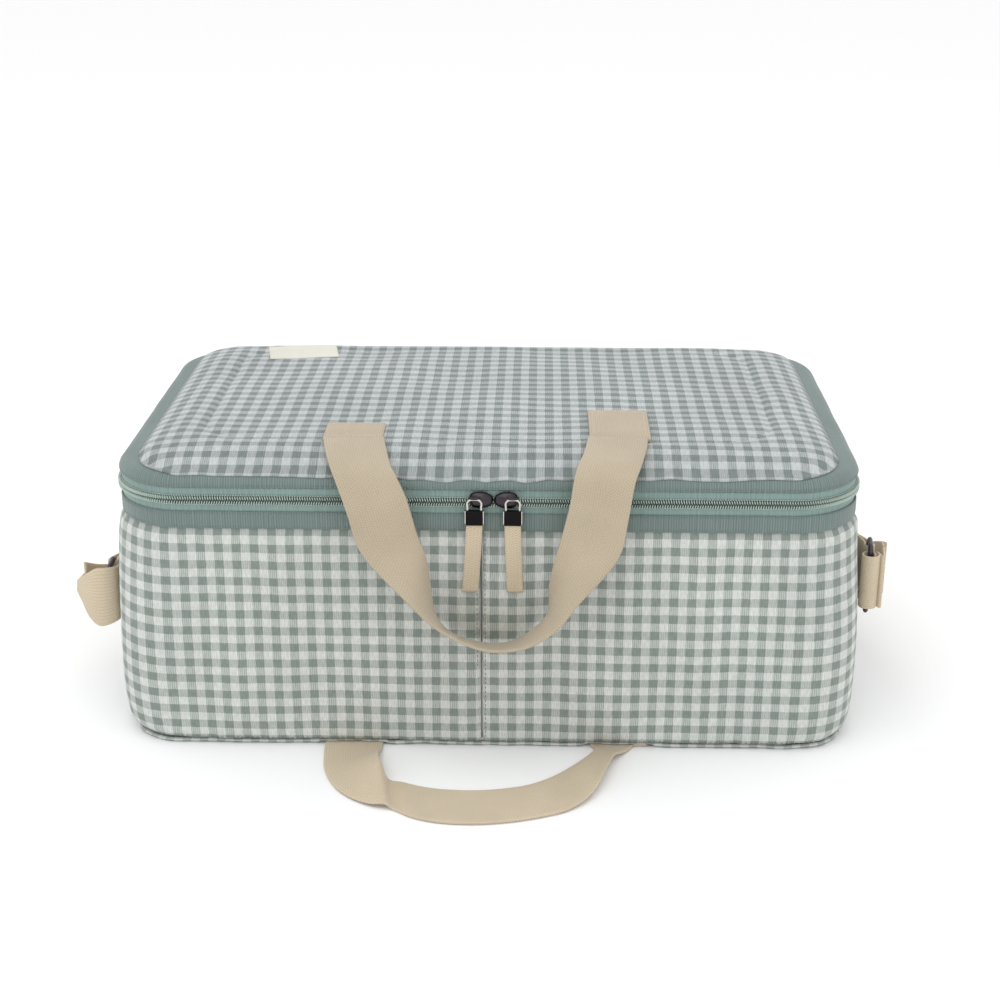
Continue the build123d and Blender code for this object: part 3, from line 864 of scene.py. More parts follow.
class COOLER_OT_walls(bpy.types.Operator):
    """Side walls, turned hem and base panel of gingham."""

    bl_idname = "cooler.walls"
    bl_label = "Walls"

    def execute(self, context):
        """Two walls meet at a front and a back seam, as outlines with the wall's offset at each height."""
        gingham = gingham_finish()
        height = np.linspace(HEM_TOP, WALL_TOP, 72)
        spans = {"right": (SEAM_X, BACK_SEAM), "left": (BACK_SEAM, PERIMETER + SEAM_X)}
        for side, (start, stop) in spans.items():
            near = np.linspace(0, 6 * MM, 13)
            along = np.concatenate(
                [start + near, np.linspace(start + 8 * MM, stop - 8 * MM, 330), stop - near[::-1]]
            )
            grid_s, grid_z = np.meshgrid(along, height, indexing="ij")
            offset = wall_offset(grid_s, grid_z)
            seam = np.minimum(grid_s - start, stop - grid_s)
            offset = offset - 1.6 * MM * bell(seam, 0.7 * MM)
            loop_offset = np.hstack([offset, offset[:, ::-1] - 0.9 * MM])
            loop_z = np.concatenate([height, height[::-1]])
            points = hoop(along[:, None], loop_offset, loop_z[None])
            shift = 0.0 if side == "right" else 4.6 * MM
            v = np.append(loop_z, loop_z[0])
            cloth = np.stack(np.broadcast_arrays(along[:, None] + shift, v[None] + 1.2 * MM), -1)
            work = Workpiece()
            work.grid(points, cloth, wrap=(False, True), caps=True)
            work.finish(f"wall_{side}", [gingham], "bag", [f"wall_{side}"], "gingham_fabric")

        along = np.linspace(0, PERIMETER, 560, endpoint=False)
        _, _, out_x, out_y = outline(along)
        stand = (0.5 * waves(along, 0, 26 * MM, 31) - 2.0 + 22 * out_x**2 * out_y**2) * MM
        x, y, out_x, out_y = outline(along, stand)
        over_handle = fade(-np.abs(np.abs(x) - 87 * MM), -25 * MM, -20 * MM) * (y < 0)
        z = 1.55 * MM + 0.25 * MM * waves(
            along, 0, 40 * MM, 33
        ) * (1 - over_handle) + 1.2 * MM * over_handle
        half = 1.25 * MM - 0.75 * MM * over_handle
        work = Workpiece()
        path = np.stack([x, y, z], -1)
        upright = np.broadcast_to([0.0, 0.0, 1.0], path.shape)
        round_section(work, path, upright, half, 1.9 * MM, sides=10, wrap=True)
        work.finish("base_hem", [gingham], "bag", ["base_hem"], "gingham_fabric")

        x, y = plan_grid(HALF_WIDTH - 2.5 * MM, HALF_DEPTH - 2.5 * MM, CORNER - 2.5 * MM, 6 * MM)
        z = HEM_TOP - 0.1 * MM + 0.3 * MM * waves(x, y, 70 * MM, 35)
        work = Workpiece()
        work.grid(np.stack([x, y, z], -1), np.stack([x, y], -1), flip=True)
        panel = work.finish("base_panel", [gingham], "bag", ["base_panel"], "gingham_fabric")
        thicken(panel, 0.7 * MM)
        return {"FINISHED"}


def thicken(piece, thickness):
    """Gives a single surface its thickness on its inner side."""
    wall = piece.modifiers.new("Thickness", "SOLIDIFY")
    wall.thickness = thickness
    wall.offset = -1


class COOLER_OT_lining(bpy.types.Operator):
    """Foam, board, lining and its binding inside the bag."""

    bl_idname = "cooler.lining"
    bl_label = "Lining"

    def execute(self, context):
        """Foam follows the wall, the lining is a tub inside it, and a ribbon binds its rim."""
        foam, lining = foam_finish(), lining_finish()
        along = np.linspace(0, PERIMETER, 300, endpoint=False)
        height = np.linspace(HEM_TOP + 1.2 * MM, FOAM_TOP - 0.2 * MM, 24)
        grid_s, grid_z = np.meshgrid(along, height, indexing="ij")
        outer = wall_offset(grid_s, grid_z) - 1.3 * MM
        outer = np.minimum(outer, np.where(grid_z > WALL_TOP - 1 * MM, -1.1 * MM, 1))
        inner = np.full_like(outer, -5.9 * MM)
        loop_z = np.concatenate([height, height[::-1]])
        points = hoop(along[:, None], np.hstack([outer, inner]), loop_z[None])
        cloth = np.zeros((len(along) + 1, len(loop_z) + 1, 2))
        work = Workpiece()
        work.grid(points, cloth, wrap=(True, True))
        work.finish("wall_foam", [foam], "bag", ["wall_foam"], "foam")

        x, y = plan_grid(HALF_WIDTH - 6.3 * MM, HALF_DEPTH - 6.3 * MM, CORNER - 6.3 * MM, 12 * MM)
        work = Workpiece()
        z = LINER_FLOOR - 0.3 * MM + 0 * x
        work.grid(np.stack([x, y, z], -1), np.stack([x, y], -1))
        pad = work.finish("base_foam", [foam], "bag", ["base_foam"], "foam")
        thicken(pad, 4.4 * MM)

        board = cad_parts["base_board"]
        fibre = finish(
            "Board", lambda r: grained(r, Size=1 * MM, Tint=(0.3, 0.27, 0.22, 1), Contrast=0.5), 0.8
        )
        board.data.materials.clear()
        board.data.materials.append(fibre)

        height = np.linspace(LINER_FLOOR + 0.2 * MM, FOAM_TOP - 0.5 * MM, 40)
        grid_s, grid_z = np.meshgrid(along, height, indexing="ij")
        middle = fade(grid_z, LINER_FLOOR, LINER_FLOOR + 25 * MM) * fade(
            -grid_z, 18 * MM - FOAM_TOP, 45 * MM - FOAM_TOP
        )
        crinkle = 1.1 * MM * (0.5 + 0.5 * waves(grid_s, grid_z, 55 * MM, 41)) * middle
        face = -7.2 * MM - np.clip(crinkle, 0, 3 * MM)
        back = np.full_like(face, -6.2 * MM)
        points = hoop(
            along[:, None], np.hstack([back, face[:, ::-1]]), np.concatenate([height, height[::-1]])[None]
        )
        cloth = np.zeros((len(along) + 1, 2 * len(height) + 1, 2))
        work = Workpiece()
        work.grid(points, cloth, wrap=(True, True))
        work.finish("liner_walls", [lining], "bag", ["liner"], "lining")
        x, y = plan_grid(HALF_WIDTH - 6.9 * MM, HALF_DEPTH - 6.9 * MM, CORNER - 6.9 * MM, 6 * MM)
        inset = inset_from_edge(x, y)
        ripple = 0.5 * MM * (1 + waves(x, y, 60 * MM, 43)) * fade(inset, 12 * MM, 40 * MM)
        weld = 0.7 * MM * bell(inset - 11 * MM, 1.6 * MM)
        z = LINER_FLOOR + 0.9 * MM + ripple + weld
        work = Workpiece()
        work.grid(np.stack([x, y, z], -1), np.stack([x, y], -1))
        floor = work.finish("liner_floor", [lining], "bag", (), "lining")
        thicken(floor, 0.6 * MM)

        trim = trim_values()
        ribs = ribbed_finish("Binding", trim.ribbon, trim.rib)
        loop = np.array(
            [(-7.4, 152), (-7.3, 158), (-7.3, 163.4), (-6.6, 163.9), (-4, 164), (-1.3, 164), (-1.2, 164.6), (-1.6, 165.1),
             (-4, 165.2), (-7.4, 165.2), (-8.2, 164.8), (-8.4, 164), (-8.4, 158), (-8.3, 152)]
        ) * MM
        work = Workpiece()
        along = np.linspace(0, PERIMETER, 500, endpoint=False)
        hem_band(work, along, loop)
        work.finish("liner_binding", [ribs], "bag", ["liner_binding"], "binding")
        return {"FINISHED"}


def hem_band(work, along, loop, sway=0.0, closed=True):
    """Carries a closed loop of offset and height round the plan; sway shifts the whole loop out place
    by place."""
    offset = loop[None, :, 0] + np.reshape(sway, (-1, 1))
    points = hoop(along[:, None], offset, loop[None, :, 1])
    run = np.append(along, along[0] + PERIMETER) if closed else along
    travel = distances(np.vstack([loop, loop[:1]]))
    cloth = np.stack(np.broadcast_arrays(run[:, None], travel[None]), -1)
    work.grid(points, cloth, wrap=(closed, True), caps=not closed)


def upper_band_line(turn, radius_in, radius_up):
    """The upper ribbon's roll: an ellipse from upright at the zip to level under the lid's cloth."""
    centre = np.array([-6.4 * MM, UPPER_LOW + 0.7 * MM])
    return centre + np.stack([radius_in * np.cos(turn), radius_up * np.sin(turn)], -1)


class COOLER_OT_ribbons(bpy.types.Operator):
    """Grosgrain ribbons below and above the zip, with their stitches."""

    bl_idname = "cooler.ribbons"
    bl_label = "Ribbons"

    def execute(self, context):
        """The lower ribbon stands flat, the upper rolls in as an ellipse over the lid's edge."""
        trim = trim_values()
        ribs = ribbed_finish("Grosgrain", [1.08 * a for a in trim.ribbon], trim.rib, 0.45)
        thread = thread_finish("Thread", trim.thread)
        along = np.linspace(0, PERIMETER, 760, endpoint=False)
        outer, inner = strip_section(BAND_LOW, BAND_TOP, 1.0 * MM, 0.05 * MM, 0.15 * MM, 9)
        flush = -1.2 * MM * fade(outline(along)[1], HALF_DEPTH - 8 * MM, HALF_DEPTH - 1 * MM)
        sway = np.clip(
            0.22 * MM * waves(along, 0, 45 * MM, 51), -0.05 * MM, 1 * MM
        ) * (1 + flush / (1.2 * MM))
        work = Workpiece()
        hem_band(work, along, np.vstack([outer, inner[::-1]]), sway + flush)
        work.finish("lower_band", [ribs], "bag", ["lower_band"], "sage_ribbon")

        turn = np.linspace(0, math.pi / 2, 12)
        rolled = upper_band_line(turn, 7.4 * MM, 6.9 * MM)
        inside = upper_band_line(turn, 6.6 * MM, 6.1 * MM)
        foot = UPPER_LOW - 0.1 * MM
        outer = np.vstack(
            [
                [(1.1 * MM, foot), (1.15 * MM, foot + 0.4 * MM)], rolled,
                [(-10 * MM, 188.5 * MM), (-14 * MM, 189.9 * MM), (-17 * MM, 190.3 * MM)]
            ]
        )
        inner = np.vstack(
            [
                [(0.3 * MM, foot), (0.25 * MM, foot + 0.4 * MM)], inside,
                [(-10 * MM, 187.7 * MM), (-14 * MM, 189.1 * MM), (-17 * MM, 189.5 * MM)]
            ]
        )
        sway = np.clip(
            0.25 * MM * waves(along, 0, 50 * MM, 53), -0.1 * MM, 1 * MM
        ) * (1 + flush / (1.2 * MM))
        work = Workpiece()
        hem_band(work, along, np.vstack([outer, inner[::-1]]), sway + flush)
        work.finish("upper_band", [ribs], "lid", ["upper_band"], "sage_ribbon")

        dense = np.linspace(0, PERIMETER, 1500)
        x, y, out_x, out_y = outline(dense)
        up = np.stack([out_x, out_y, 0 * x], -1)
        rows = (
            (
                "lower_band_stitches", "bag",
                ((1.05 * MM, BAND_TOP - 1.3 * MM), (1.05 * MM, BAND_LOW + 1.4 * MM))
            ),
            (
                "upper_band_stitches", "lid",
                ((1.1 * MM, UPPER_LOW + 1.3 * MM), (0.35 * MM, UPPER_LOW - 0.55 * MM))
            ),
        )
        for name, body, lines in rows:
            work = Workpiece()
            for lift, z in lines:
                sew(
                    work,
                    hoop(dense, lift - 1.6 * MM * fade(y, HALF_DEPTH - 8 * MM, HALF_DEPTH - 1 * MM), z), up
                )
            work.finish(name, [thread], body, (), "sage_ribbon")
        return {"FINISHED"}


class COOLER_OT_zip(bpy.types.Operator):
    """Zip tapes, teeth, end stops and the hinge strips behind them."""

    bl_idname = "cooler.zip"
    bl_label = "Zip"

    def execute(self, context):
        """Tapes are strips round the plan; teeth are ovals at an even pitch, the two rows half a pitch
        apart."""
        trim = trim_values()
        tape = ribbed_finish("Zip Tape", trim.tape, 0.9 * MM, 0.08, 0.1 * MM)
        coil = thread_finish("Zip Teeth", trim.coil)
        along = np.linspace(-ZIP_REACH, ZIP_REACH, 620)
        hinge = np.linspace(ZIP_REACH, PERIMETER - ZIP_REACH, 200)
        spans = {
            "lower": (TAPE_LOW, COIL_LOW, HINGE_LOW, "bag"),
            "upper": (TAPE_HIGH, COIL_HIGH, HINGE_HIGH, "lid")
        }
        tooth = (trim.tooth * 0.26, 1.2 * MM)
        # Near-black cord colour: painted shade in the gaps between the teeth.
        shade = thread_finish("Zip Painted Groove Shade", (0.045, 0.065, 0.058))
        for half, (tape_box, coil_box, hinge_box, body) in spans.items():
            up = 1 if half == "lower" else -1
            outer, inner = strip_section(tape_box[0].z, tape_box[1].z, 0.0, -0.7 * MM, 0.0, 9)
            work = Workpiece()
            hem_band(work, along, np.vstack([outer, inner[::-1]]), 0.0, closed=False)
            work.finish(f"zip_tape_{half}", [tape], body, [f"zip_tape_{half}"], "zip_tape")

            work = Workpiece()
            low, high = coil_box[0].z, coil_box[1].z
            far, near = (low, high + 0.45 * MM) if half == "lower" else (high, low - 0.45 * MM)
            count = int(2 * ZIP_REACH / trim.tooth)
            at = -ZIP_REACH + (np.arange(count) + (0.25 if half == "lower" else 0.75)) * trim.tooth
            x, y, out_x, out_y = outline(at, 1.5 * MM)
            out = np.stack([out_x, out_y, 0 * x], -1)
            run = np.stack([-out_y, out_x, 0 * x], -1)
            rise = np.array([0, 0, 1.0]) * (near - far) / 2
            axes = np.stack([rise + run * 0.35 * MM, run * tooth[0], out * tooth[1]], 1)
            spot = np.stack([x, y, np.full_like(x, (near + far) / 2)], -1)
            work.scatter(bead(6, 4), spot, axes, np.stack([at, 0 * at], -1))
            # The cord under the teeth takes the painted-shade colour, so the gaps between teeth read dark.
            path = hoop(along, 0.45 * MM, (low + high) / 2)
            x, y, out_x, out_y = outline(along)
            out = np.stack([out_x, out_y, 0 * x], -1)
            round_section(work, path, out, 0.35 * MM, 1.3 * MM, sides=6, paint=1)
            dense = np.linspace(-ZIP_REACH, ZIP_REACH, 1200)
            dx, dy, dense_x, dense_y = outline(dense)
            line = hoop(dense, 0.5 * MM, far - up * 0.1 * MM)
            sew(work, line, np.stack([dense_x, dense_y, 0 * dx], -1), thickness=0.9 * MM, stitch=1.35 * MM,
                gap=0.25 * MM)
            work.finish(f"zip_coil_{half}", [coil, shade], body, [f"zip_coil_{half}"], "zip_coil")

        work = Workpiece()
        low, high = HINGE_LOW[0].z, HINGE_HIGH[1].z
        outer, inner = strip_section(low, high, -0.05 * MM, -0.75 * MM, 0.0, 33)
        hem_band(work, hinge, np.vstack([outer, inner[::-1]]), 0.0, closed=False)
        strip = work.finish(
            "hinge_strip", [tape], None, ["hinge_strip_lower", "hinge_strip_upper"], "zip_tape"
        )
        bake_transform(strip)

        steel = metal_finish("Gunmetal", trim.gunmetal, 0.28)
        work = Workpiece()
        for end in (ZIP_REACH + 1 * MM, -ZIP_REACH - 1 * MM):
            spots = np.linspace(end - 1.2 * MM, end + 1.2 * MM, 7)
            x, y, out_x, out_y = outline(spots)
            out = np.stack([out_x, out_y, 0 * x], -1)
            path = hoop(spots, 0.9 * MM, (COIL_LOW[0].z + COIL_LOW[1].z) / 2)
            round_section(work, path, out, 0.9 * MM, 1.3 * MM, sides=10)
        work.finish("zip_end_stops", [steel], "bag", ["zip_end_stops"], "slider_metal")
        return {"FINISHED"}


SLIDERS = {"left": (-2.3 * MM, -6.5 * MM, -1), "right": (13.0 * MM, 17.2 * MM, 1)}


class COOLER_OT_sliders(bpy.types.Operator):
    """Two domed zip sliders with wire bails, clamps and webbing pull tabs."""

    bl_idname = "cooler.sliders"
    bl_label = "Sliders"

    def execute(self, context):
        """Each slider is a dome over a rounded plate; its height falls as the root of one minus radius
        squared."""
        trim = trim_values()
        steel = metal_finish("Gunmetal", trim.gunmetal, 0.22)
        bright = metal_finish("Bright Steel", (0.62, 0.60, 0.56), 0.25)
        enamel = finish(
            "Black Enamel", lambda r: grained(
                r, Size=2 * MM, Tint=(0.004, 0.003, 0.004, 1), Contrast=0.3
            ), 0.5,
            relief=0.02 * MM, strength=0.2, gloss=0.12,
        )
        cloth = webbing_finish("Pull Tab", 1.0, 0.35, 2.1 * MM)
        front = -HALF_DEPTH
        for side, (x0, pull_x, sign) in SLIDERS.items():
            work = Workpiece()
            radius, turn = np.linspace(0.02, 1, 16), np.arange(48) * 2 * math.pi / 48
            r, t = np.meshgrid(radius, turn, indexing="ij")
            squarish = (np.abs(np.cos(t)) ** 3 + np.abs(np.sin(t)) ** 3) ** (-1 / 3)
            u, w = r * np.cos(t) * squarish * 7.4 * MM, r * np.sin(t) * squarish * 5.4 * MM
            taper = 1 - 0.22 * fade(-sign * u, 0, 7 * MM)
            swell = 3.6 * MM * np.sqrt(np.clip(1 - r**2, 0, 1)) + 0.6 * MM * bell(u, 2.5 * MM) * (1 - r**2)
            y_top = front - 2.2 * MM - swell
            dome = np.stack([x0 + u, y_top, ZIP_Z + 2.2 * MM + w * taper], -1)
            rim = np.stack(
                [x0 + u[-1], np.full(48, front - 1.9 * MM), ZIP_Z + 2.2 * MM + (w * taper)[-1]], -1
            )[None]
            base = rim.copy()
            base[..., 0] = x0 + u[-1] * 0.1
            base[..., 2] = ZIP_Z + (w * taper)[-1] * 0.1
            shell = np.vstack([dome, rim, base])
            flat = np.stack(np.broadcast_arrays(np.zeros((18, 1)), np.zeros((1, 49))), -1)
            work.grid(shell, flat, wrap=(False, True), flip=False, caps=True)
            plate = plate_loop(14.4 * MM, 8.6 * MM, 2.6 * MM, 40)
            thick = np.array([-1.0, -0.85, 0.85, 1.0])[:, None] * 0.5 * MM
            size = np.array([0.9, 1.0, 1.0, 0.9])[:, None]
            inner = np.stack(
                np.broadcast_arrays(
                    x0 + plate[None, :, 0] * size, front + 1.6 * MM + thick,
                    ZIP_Z + plate[None, :, 1] * size
                ),
                -1,
            )
            work.grid(inner, np.zeros((4, 41, 2)), wrap=(False, True), flip=False, caps=True)
            neck_x = x0 - sign * 5.0 * MM
            neck = np.stack(
                [np.full(5, neck_x), np.linspace(front - 2.4 * MM, front + 1.3 * MM, 5), np.full(5, ZIP_Z)],
                -1
            )
            round_section(work, neck, np.broadcast_to([0, 0, 1.0], neck.shape), 0.3 * MM, 1.2 * MM, sides=8)
            eye_line = np.linspace(0, math.pi, 13)
            eye = np.stack([pull_x + 3.2 * MM * np.cos(eye_line), front - 5.2 * MM - 1.4 * MM * np.sin(eye_line),
                            ZIP_Z + 4.6 * MM + 0 * eye_line], -1)
            round_section(work, eye, np.broadcast_to([0, 0, 1.0], eye.shape), 0.9 * MM, 0.6 * MM, sides=8)
            work.finish(f"slider_{side}", [steel], f"slider_{side}", [f"slider_{side}"], "slider_metal")

            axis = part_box(f"pull_bail_{side}")
            top, y0 = axis[1].z + 2.2 * MM, (axis[0].y + axis[1].y) / 2
            corners = [
                (-4.2, -9), (-4.2, -5), (-4.2, -1.4), (-3, 0), (0, 0.4), (3, 0), (4.2, -1.4), (4.2, -5),
                (4.2, -9)
            ]
            shape = np.array([(pull_x + a * MM, y0 - 1.2 * MM, top + b * MM) for a, b in corners])
            line = smooth_line(shape, 60)
            work = Workpiece()
            round_section(
                work, line, np.broadcast_to([0, 1.0, 0], line.shape), 0.6 * MM, 0.75 * MM, sides=10
            )
            work.finish(
                f"pull_bail_{side}", [bright], f"pull_{side}", [f"pull_bail_{side}"], "slider_metal"
            )

            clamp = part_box(f"pull_clamp_{side}")
            low, high = 159.3 * MM, 168.6 * MM
            work = Workpiece()
            ring = plate_loop(clamp[1].x - clamp[0].x, 3.4 * MM, 0.9 * MM, 40)
            rise = np.array([0, 0.25, 0.6, 8.9, 9.25, 9.5]) / 9.5
            pinch = np.array([0.9, 0.98, 1.0, 1.0, 0.98, 0.9])[:, None]
            body = np.stack(
                np.broadcast_arrays(pull_x + ring[None, :, 0] * pinch, y0 - 1.2 * MM + ring[None, :, 1] * pinch,
                                    (low + (high - low) * rise)[:, None]), -1
            )
            work.grid(body, np.zeros((6, 41, 2)), wrap=(False, True), flip=True, caps=True)
            for edge in (-1, 1):
                rod = np.stack(
                    [
                        np.full(6, pull_x + edge * 5.6 * MM), np.full(6, y0 - 1.6 * MM),
                        np.linspace(low, high, 6)
                    ],
                    -1
                )
                round_section(
                    work, rod, np.broadcast_to([0, 1.0, 0], rod.shape), 1.5 * MM, 0.55 * MM, sides=8,
                    paint=1
                )
            work.finish(
                f"pull_clamp_{side}", [enamel, bright], f"pull_{side}", [f"pull_clamp_{side}"],
                "clamp_black"
            )

            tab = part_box(f"pull_tab_{side}")
            lean = {"left": (-3.0, 0.0), "right": (1.6, -1.0)}[side]
            drop = np.linspace(0, 1, 8)
            centre = pull_x + lean[0] * MM * drop**1.3
            z = 159.6 * MM - 45.6 * MM * drop
            y = y0 - 1.2 * MM - 0.8 * MM * np.sin(math.pi * drop)
            half = 5.15 * MM
            work = Workpiece()
            edge_a = np.stack([centre - half, y, z + 0.05 * lean[0] * MM], -1)
            edge_b = np.stack([centre + half, y, z - 0.05 * lean[0] * MM], -1)
            ribbon(work, edge_b[::-1], edge_a[::-1], 1.5 * MM, columns=9, step=1.2 * MM)
            fold = np.stack([np.linspace(centre[-1] - half, centre[-1] + half, 8), np.full(8, y[-1] - 1.0 * MM),
                             np.full(8, z[-1] + 3.4 * MM)], -1)
            sew(work, fold, np.broadcast_to([0, -1.0, 0], fold.shape), stitch=1.6 * MM, gap=0.7 * MM)
            work.finish(f"pull_tab_{side}", [cloth], f"pull_{side}", [f"pull_tab_{side}"], "webbing")
        return {"FINISHED"}


def plate_loop(width, depth, corner, count):
    """Points round a rounded rectangle at even angles: each ray meets its signed distance's zero by
    halving."""
    turn = np.arange(count) * 2 * math.pi / count
    near, far = np.zeros(count), np.full(count, width + depth)
    for _ in range(40):
        middle = (near + far) / 2
        inside = rounded_distance(
            middle * np.cos(turn), middle * np.sin(turn), width / 2, depth / 2, corner
        ) < 0
        near, far = np.where(inside, middle, near), np.where(inside, far, middle)
    return np.stack([near * np.cos(turn), near * np.sin(turn)], -1)


class COOLER_OT_lid(bpy.types.Operator):
    """Quilted gingham lid with its foam, lining, binding and label."""

    bl_idname = "cooler.lid"
    bl_label = "Lid"

    def execute(self, context):
        """The lid is a plan grid lifted by its height; its rim bellies out over the ribbon at the front."""
        trim = trim_values()
        half_x, half_y, corner = HALF_WIDTH - 12.5 * MM, HALF_DEPTH - 4 * MM, CORNER - 8 * MM
        x, y = plan_grid(half_x, half_y, corner, 2.4 * MM)
        rim = np.clip(-rounded_distance(x, y, half_x, half_y, corner) / (6.5 * MM), 0, 1)
        inner_z = lid_height(x, y)
        z = inner_z - (1 - rim) ** 2 * 2.6 * MM
        rim_front = fade(-y, 100 * MM, 130 * MM)
        over = (1 - rim) * rim_front * (
            0.75 + 0.35 * bell(x - 5 * MM, 55 * MM) + 0.25 * waves(x, 0 * x, 34 * MM, 61)
        )
        z = z - 1.4 * MM * np.clip(over, 0, 1.3)
        push = 3.4 * MM * np.clip(over, 0, 1.3)
        reach = np.clip(
            (6.4 * MM - np.clip(inset_from_edge(x, y - push), -1 * MM, 6.4 * MM)) / (7.4 * MM), 0, 1
        )
        ribbon_top = UPPER_LOW + 0.7 * MM + 6.9 * MM * np.sqrt(1 - reach**2)
        z = np.maximum(z, ribbon_top + 1.25 * MM)
        work = Workpiece()
        work.grid(np.stack([x, y - push, z], -1), np.stack([x, y + 2 * MM], -1))
        # The lid's cloth is the gingham darkened by painted shade, so its lit top reads no brighter than the walls.
        lid = work.finish(
            "lid_panel", [gingham_finish("Gingham Lid Painted Shade", (0.80, 0.81, 0.86))], "lid", ["lid_panel"],
            "gingham_fabric"
        )
        thicken(lid, 0.9 * MM)

        work = Workpiece()
        thread = thread_finish("Quilting Thread", (0.42, 0.47, 0.44))
        line = plate_loop(2 * CROWN_HALF[0], 2 * CROWN_HALF[1], CROWN_CORNER, 1200)
        line = np.vstack([line, line[:1]]) + [CROWN_X, CROWN_Y]
        path = np.stack([line[:, 0], line[:, 1], lid_height(line[:, 0], line[:, 1]) + 0.1 * MM], -1)
        sew(work, path, np.broadcast_to([0, 0, 1.0], path.shape), thickness=0.5 * MM)
        work.finish("lid_quilting", [thread], "lid", (), "gingham_fabric")

        foam = foam_finish()
        x, y = plan_grid(HALF_WIDTH - 10 * MM, HALF_DEPTH - 10 * MM, CORNER - 10 * MM, 8 * MM)
        top = lid_height(x, y) - 2.6 * MM
        low = np.full_like(x, LID_UNDER + 1.2 * MM)
        work = Workpiece()
        work.grid(np.stack([x, y, np.maximum(top, low + 1 * MM)], -1), np.stack([x, y], -1))
        work.grid(np.stack([x, y, low], -1), np.stack([x, y], -1), flip=True)
        edge = outline(np.linspace(0, PERIMETER, 300, endpoint=False), -10 * MM)
        side = np.stack(
            [
                np.stack(
                    [edge[0], edge[1], np.full_like(edge[0], h)], -1
                ) for h in (low[0, 0], low[0, 0] + 3 * MM)
            ]
        )
        work.grid(side, np.zeros((2, 301, 2)), wrap=(False, True), flip=True)
        pad = work.finish("lid_foam", [foam], "lid", ["lid_foam"], "foam")

        x, y = plan_grid(HALF_WIDTH - 1.6 * MM, HALF_DEPTH - 1.6 * MM, CORNER - 1.6 * MM, 6 * MM)
        inset = inset_from_edge(x, y)
        z = LID_UNDER + 0.1 * MM - 0.5 * MM * (
            0.5 + 0.5 * waves(x, y, 70 * MM, 71)
        ) * fade(inset, 14 * MM, 40 * MM)
        work = Workpiece()
        work.grid(np.stack([x, y, z], -1), np.stack([x, y], -1), flip=True)
        liner = work.finish("lid_liner", [lining_finish()], "lid", ["lid_liner"], "lining")
        thicken(liner, 0.6 * MM)

        loop = np.array(
            [
                (-0.9, 181.1), (-0.9, 183.0), (-8.6, 183.0), (-9.0, 182.4), (-9.0, 181.6), (-8.6, 181.1),
                (-4, 181.0)
            ]
        ) * MM
        work = Workpiece()
        hem_band(work, np.linspace(0, PERIMETER, 500, endpoint=False), loop)
        binding = ribbed_finish("Binding", trim.ribbon, trim.rib)
        work.finish("lid_binding", [binding], "lid", ["lid_binding"], "binding")

        work = Workpiece()
        u, v = np.meshgrid(np.linspace(-1, 1, 34), np.linspace(-1, 1, 22), indexing="ij")
        tilt = math.radians(10.6)
        lx = -143 * MM + 25.3 * MM * u * math.cos(tilt) - 16.5 * MM * v * math.sin(tilt)
        ly = 94.6 * MM + 25.3 * MM * u * math.sin(tilt) + 16.5 * MM * v * math.cos(tilt)
        edge = np.maximum(np.abs(u), np.abs(v))
        lz = lid_height(lx, ly) + 0.9 * MM - 0.45 * MM * fade(edge, 0.8, 1.0) + 0.15 * MM * waves(
            lx, ly, 22 * MM, 75
        )
        work.grid(np.stack([lx, ly, lz], -1), np.stack([lx, ly], -1))
        cream = finish("Label Cloth", lambda r: woven(r, webbing_twill(), Cord=0.8 * MM, Tint=(0.70, 0.68, 0.60, 1),
                                                      Slant=0.5, Groove=0.5), 0.85, relief=0.08 * MM)
        label = work.finish("label", [cream], "lid", ["label"], "label_cloth")
        thicken(label, 0.5 * MM)
        return {"FINISHED"}


def on_lid(points, lift):
    """Points with their height taken from the lid's top plus a lift."""
    points = np.array(points, float) * MM
    points[:, 2] = lid_height(points[:, 0], points[:, 1]) + lift
    return points


def in_metres(a, b):
    """Takes two lists of places in millimetres to metres."""
    return np.array(a, float) * MM, np.array(b, float) * MM


LID_HANDLE_OUTER = [
    (-103.6, -105, 201.0), (-101.5, -118, 200.6), (-98.0, -134, 198.6), (-94.6, -145, 195.0), (
        -91.6, -151.5, 190.7
    ),
    (
        -84.8, -157, 173.1
    ), (-74.0, -159, 141.8), (-63.5, -167, 133.1), (-53.7, -175, 126.6), (-44.3, -181, 119.5),
    (-32.2, -185, 109.6), (-21.4, -185, 102.0), (-10.4, -185, 96.2), (2.4, -185, 92.0), (18.3, -185, 92.4),
    (30.4, -185, 95.8), (46.1, -183, 106.5), (58.2, -176, 119.4), (71.0, -167, 130.4), (83.1, -160, 145.2),
    (88.0, -157, 168.3), (
        92.5, -151.5, 192.5
    ), (94.8, -146, 196.4), (98.0, -132, 199.4), (100.6, -116, 200.8),
    (101.9, -101, 201.2),
]
LID_HANDLE_INNER = [
    (-65.0, -104, 201.0), (-63.0, -117, 200.8), (-60.0, -133, 199.0), (
        -57.2, -144.5, 196.4
    ), (-54.6, -151, 194.5),
    (
        -48.6, -156.5, 184.0
    ), (-39.8, -157, 153.0), (-36.4, -156, 143.0), (-35.0, -154.5, 131.0), (-34.2, -152, 118.5),
    (-32.6, -149.5, 101.5), (-24.6, -148, 88.0), (-13.0, -148, 81.8), (1.2, -148, 78.6), (18.9, -148, 81.0),
    (33.0, -148, 91.0), (
        41.4, -149.5, 103.4
    ), (40.4, -152, 117.5), (42.3, -155, 134.7), (46.9, -157, 154.6),
    (52.2, -157, 178.2), (
        55.2, -151.5, 195.6
    ), (56.8, -146, 198.4), (60.0, -132, 200.4), (62.4, -116, 201.2),
    (63.8, -101, 201.4),
]


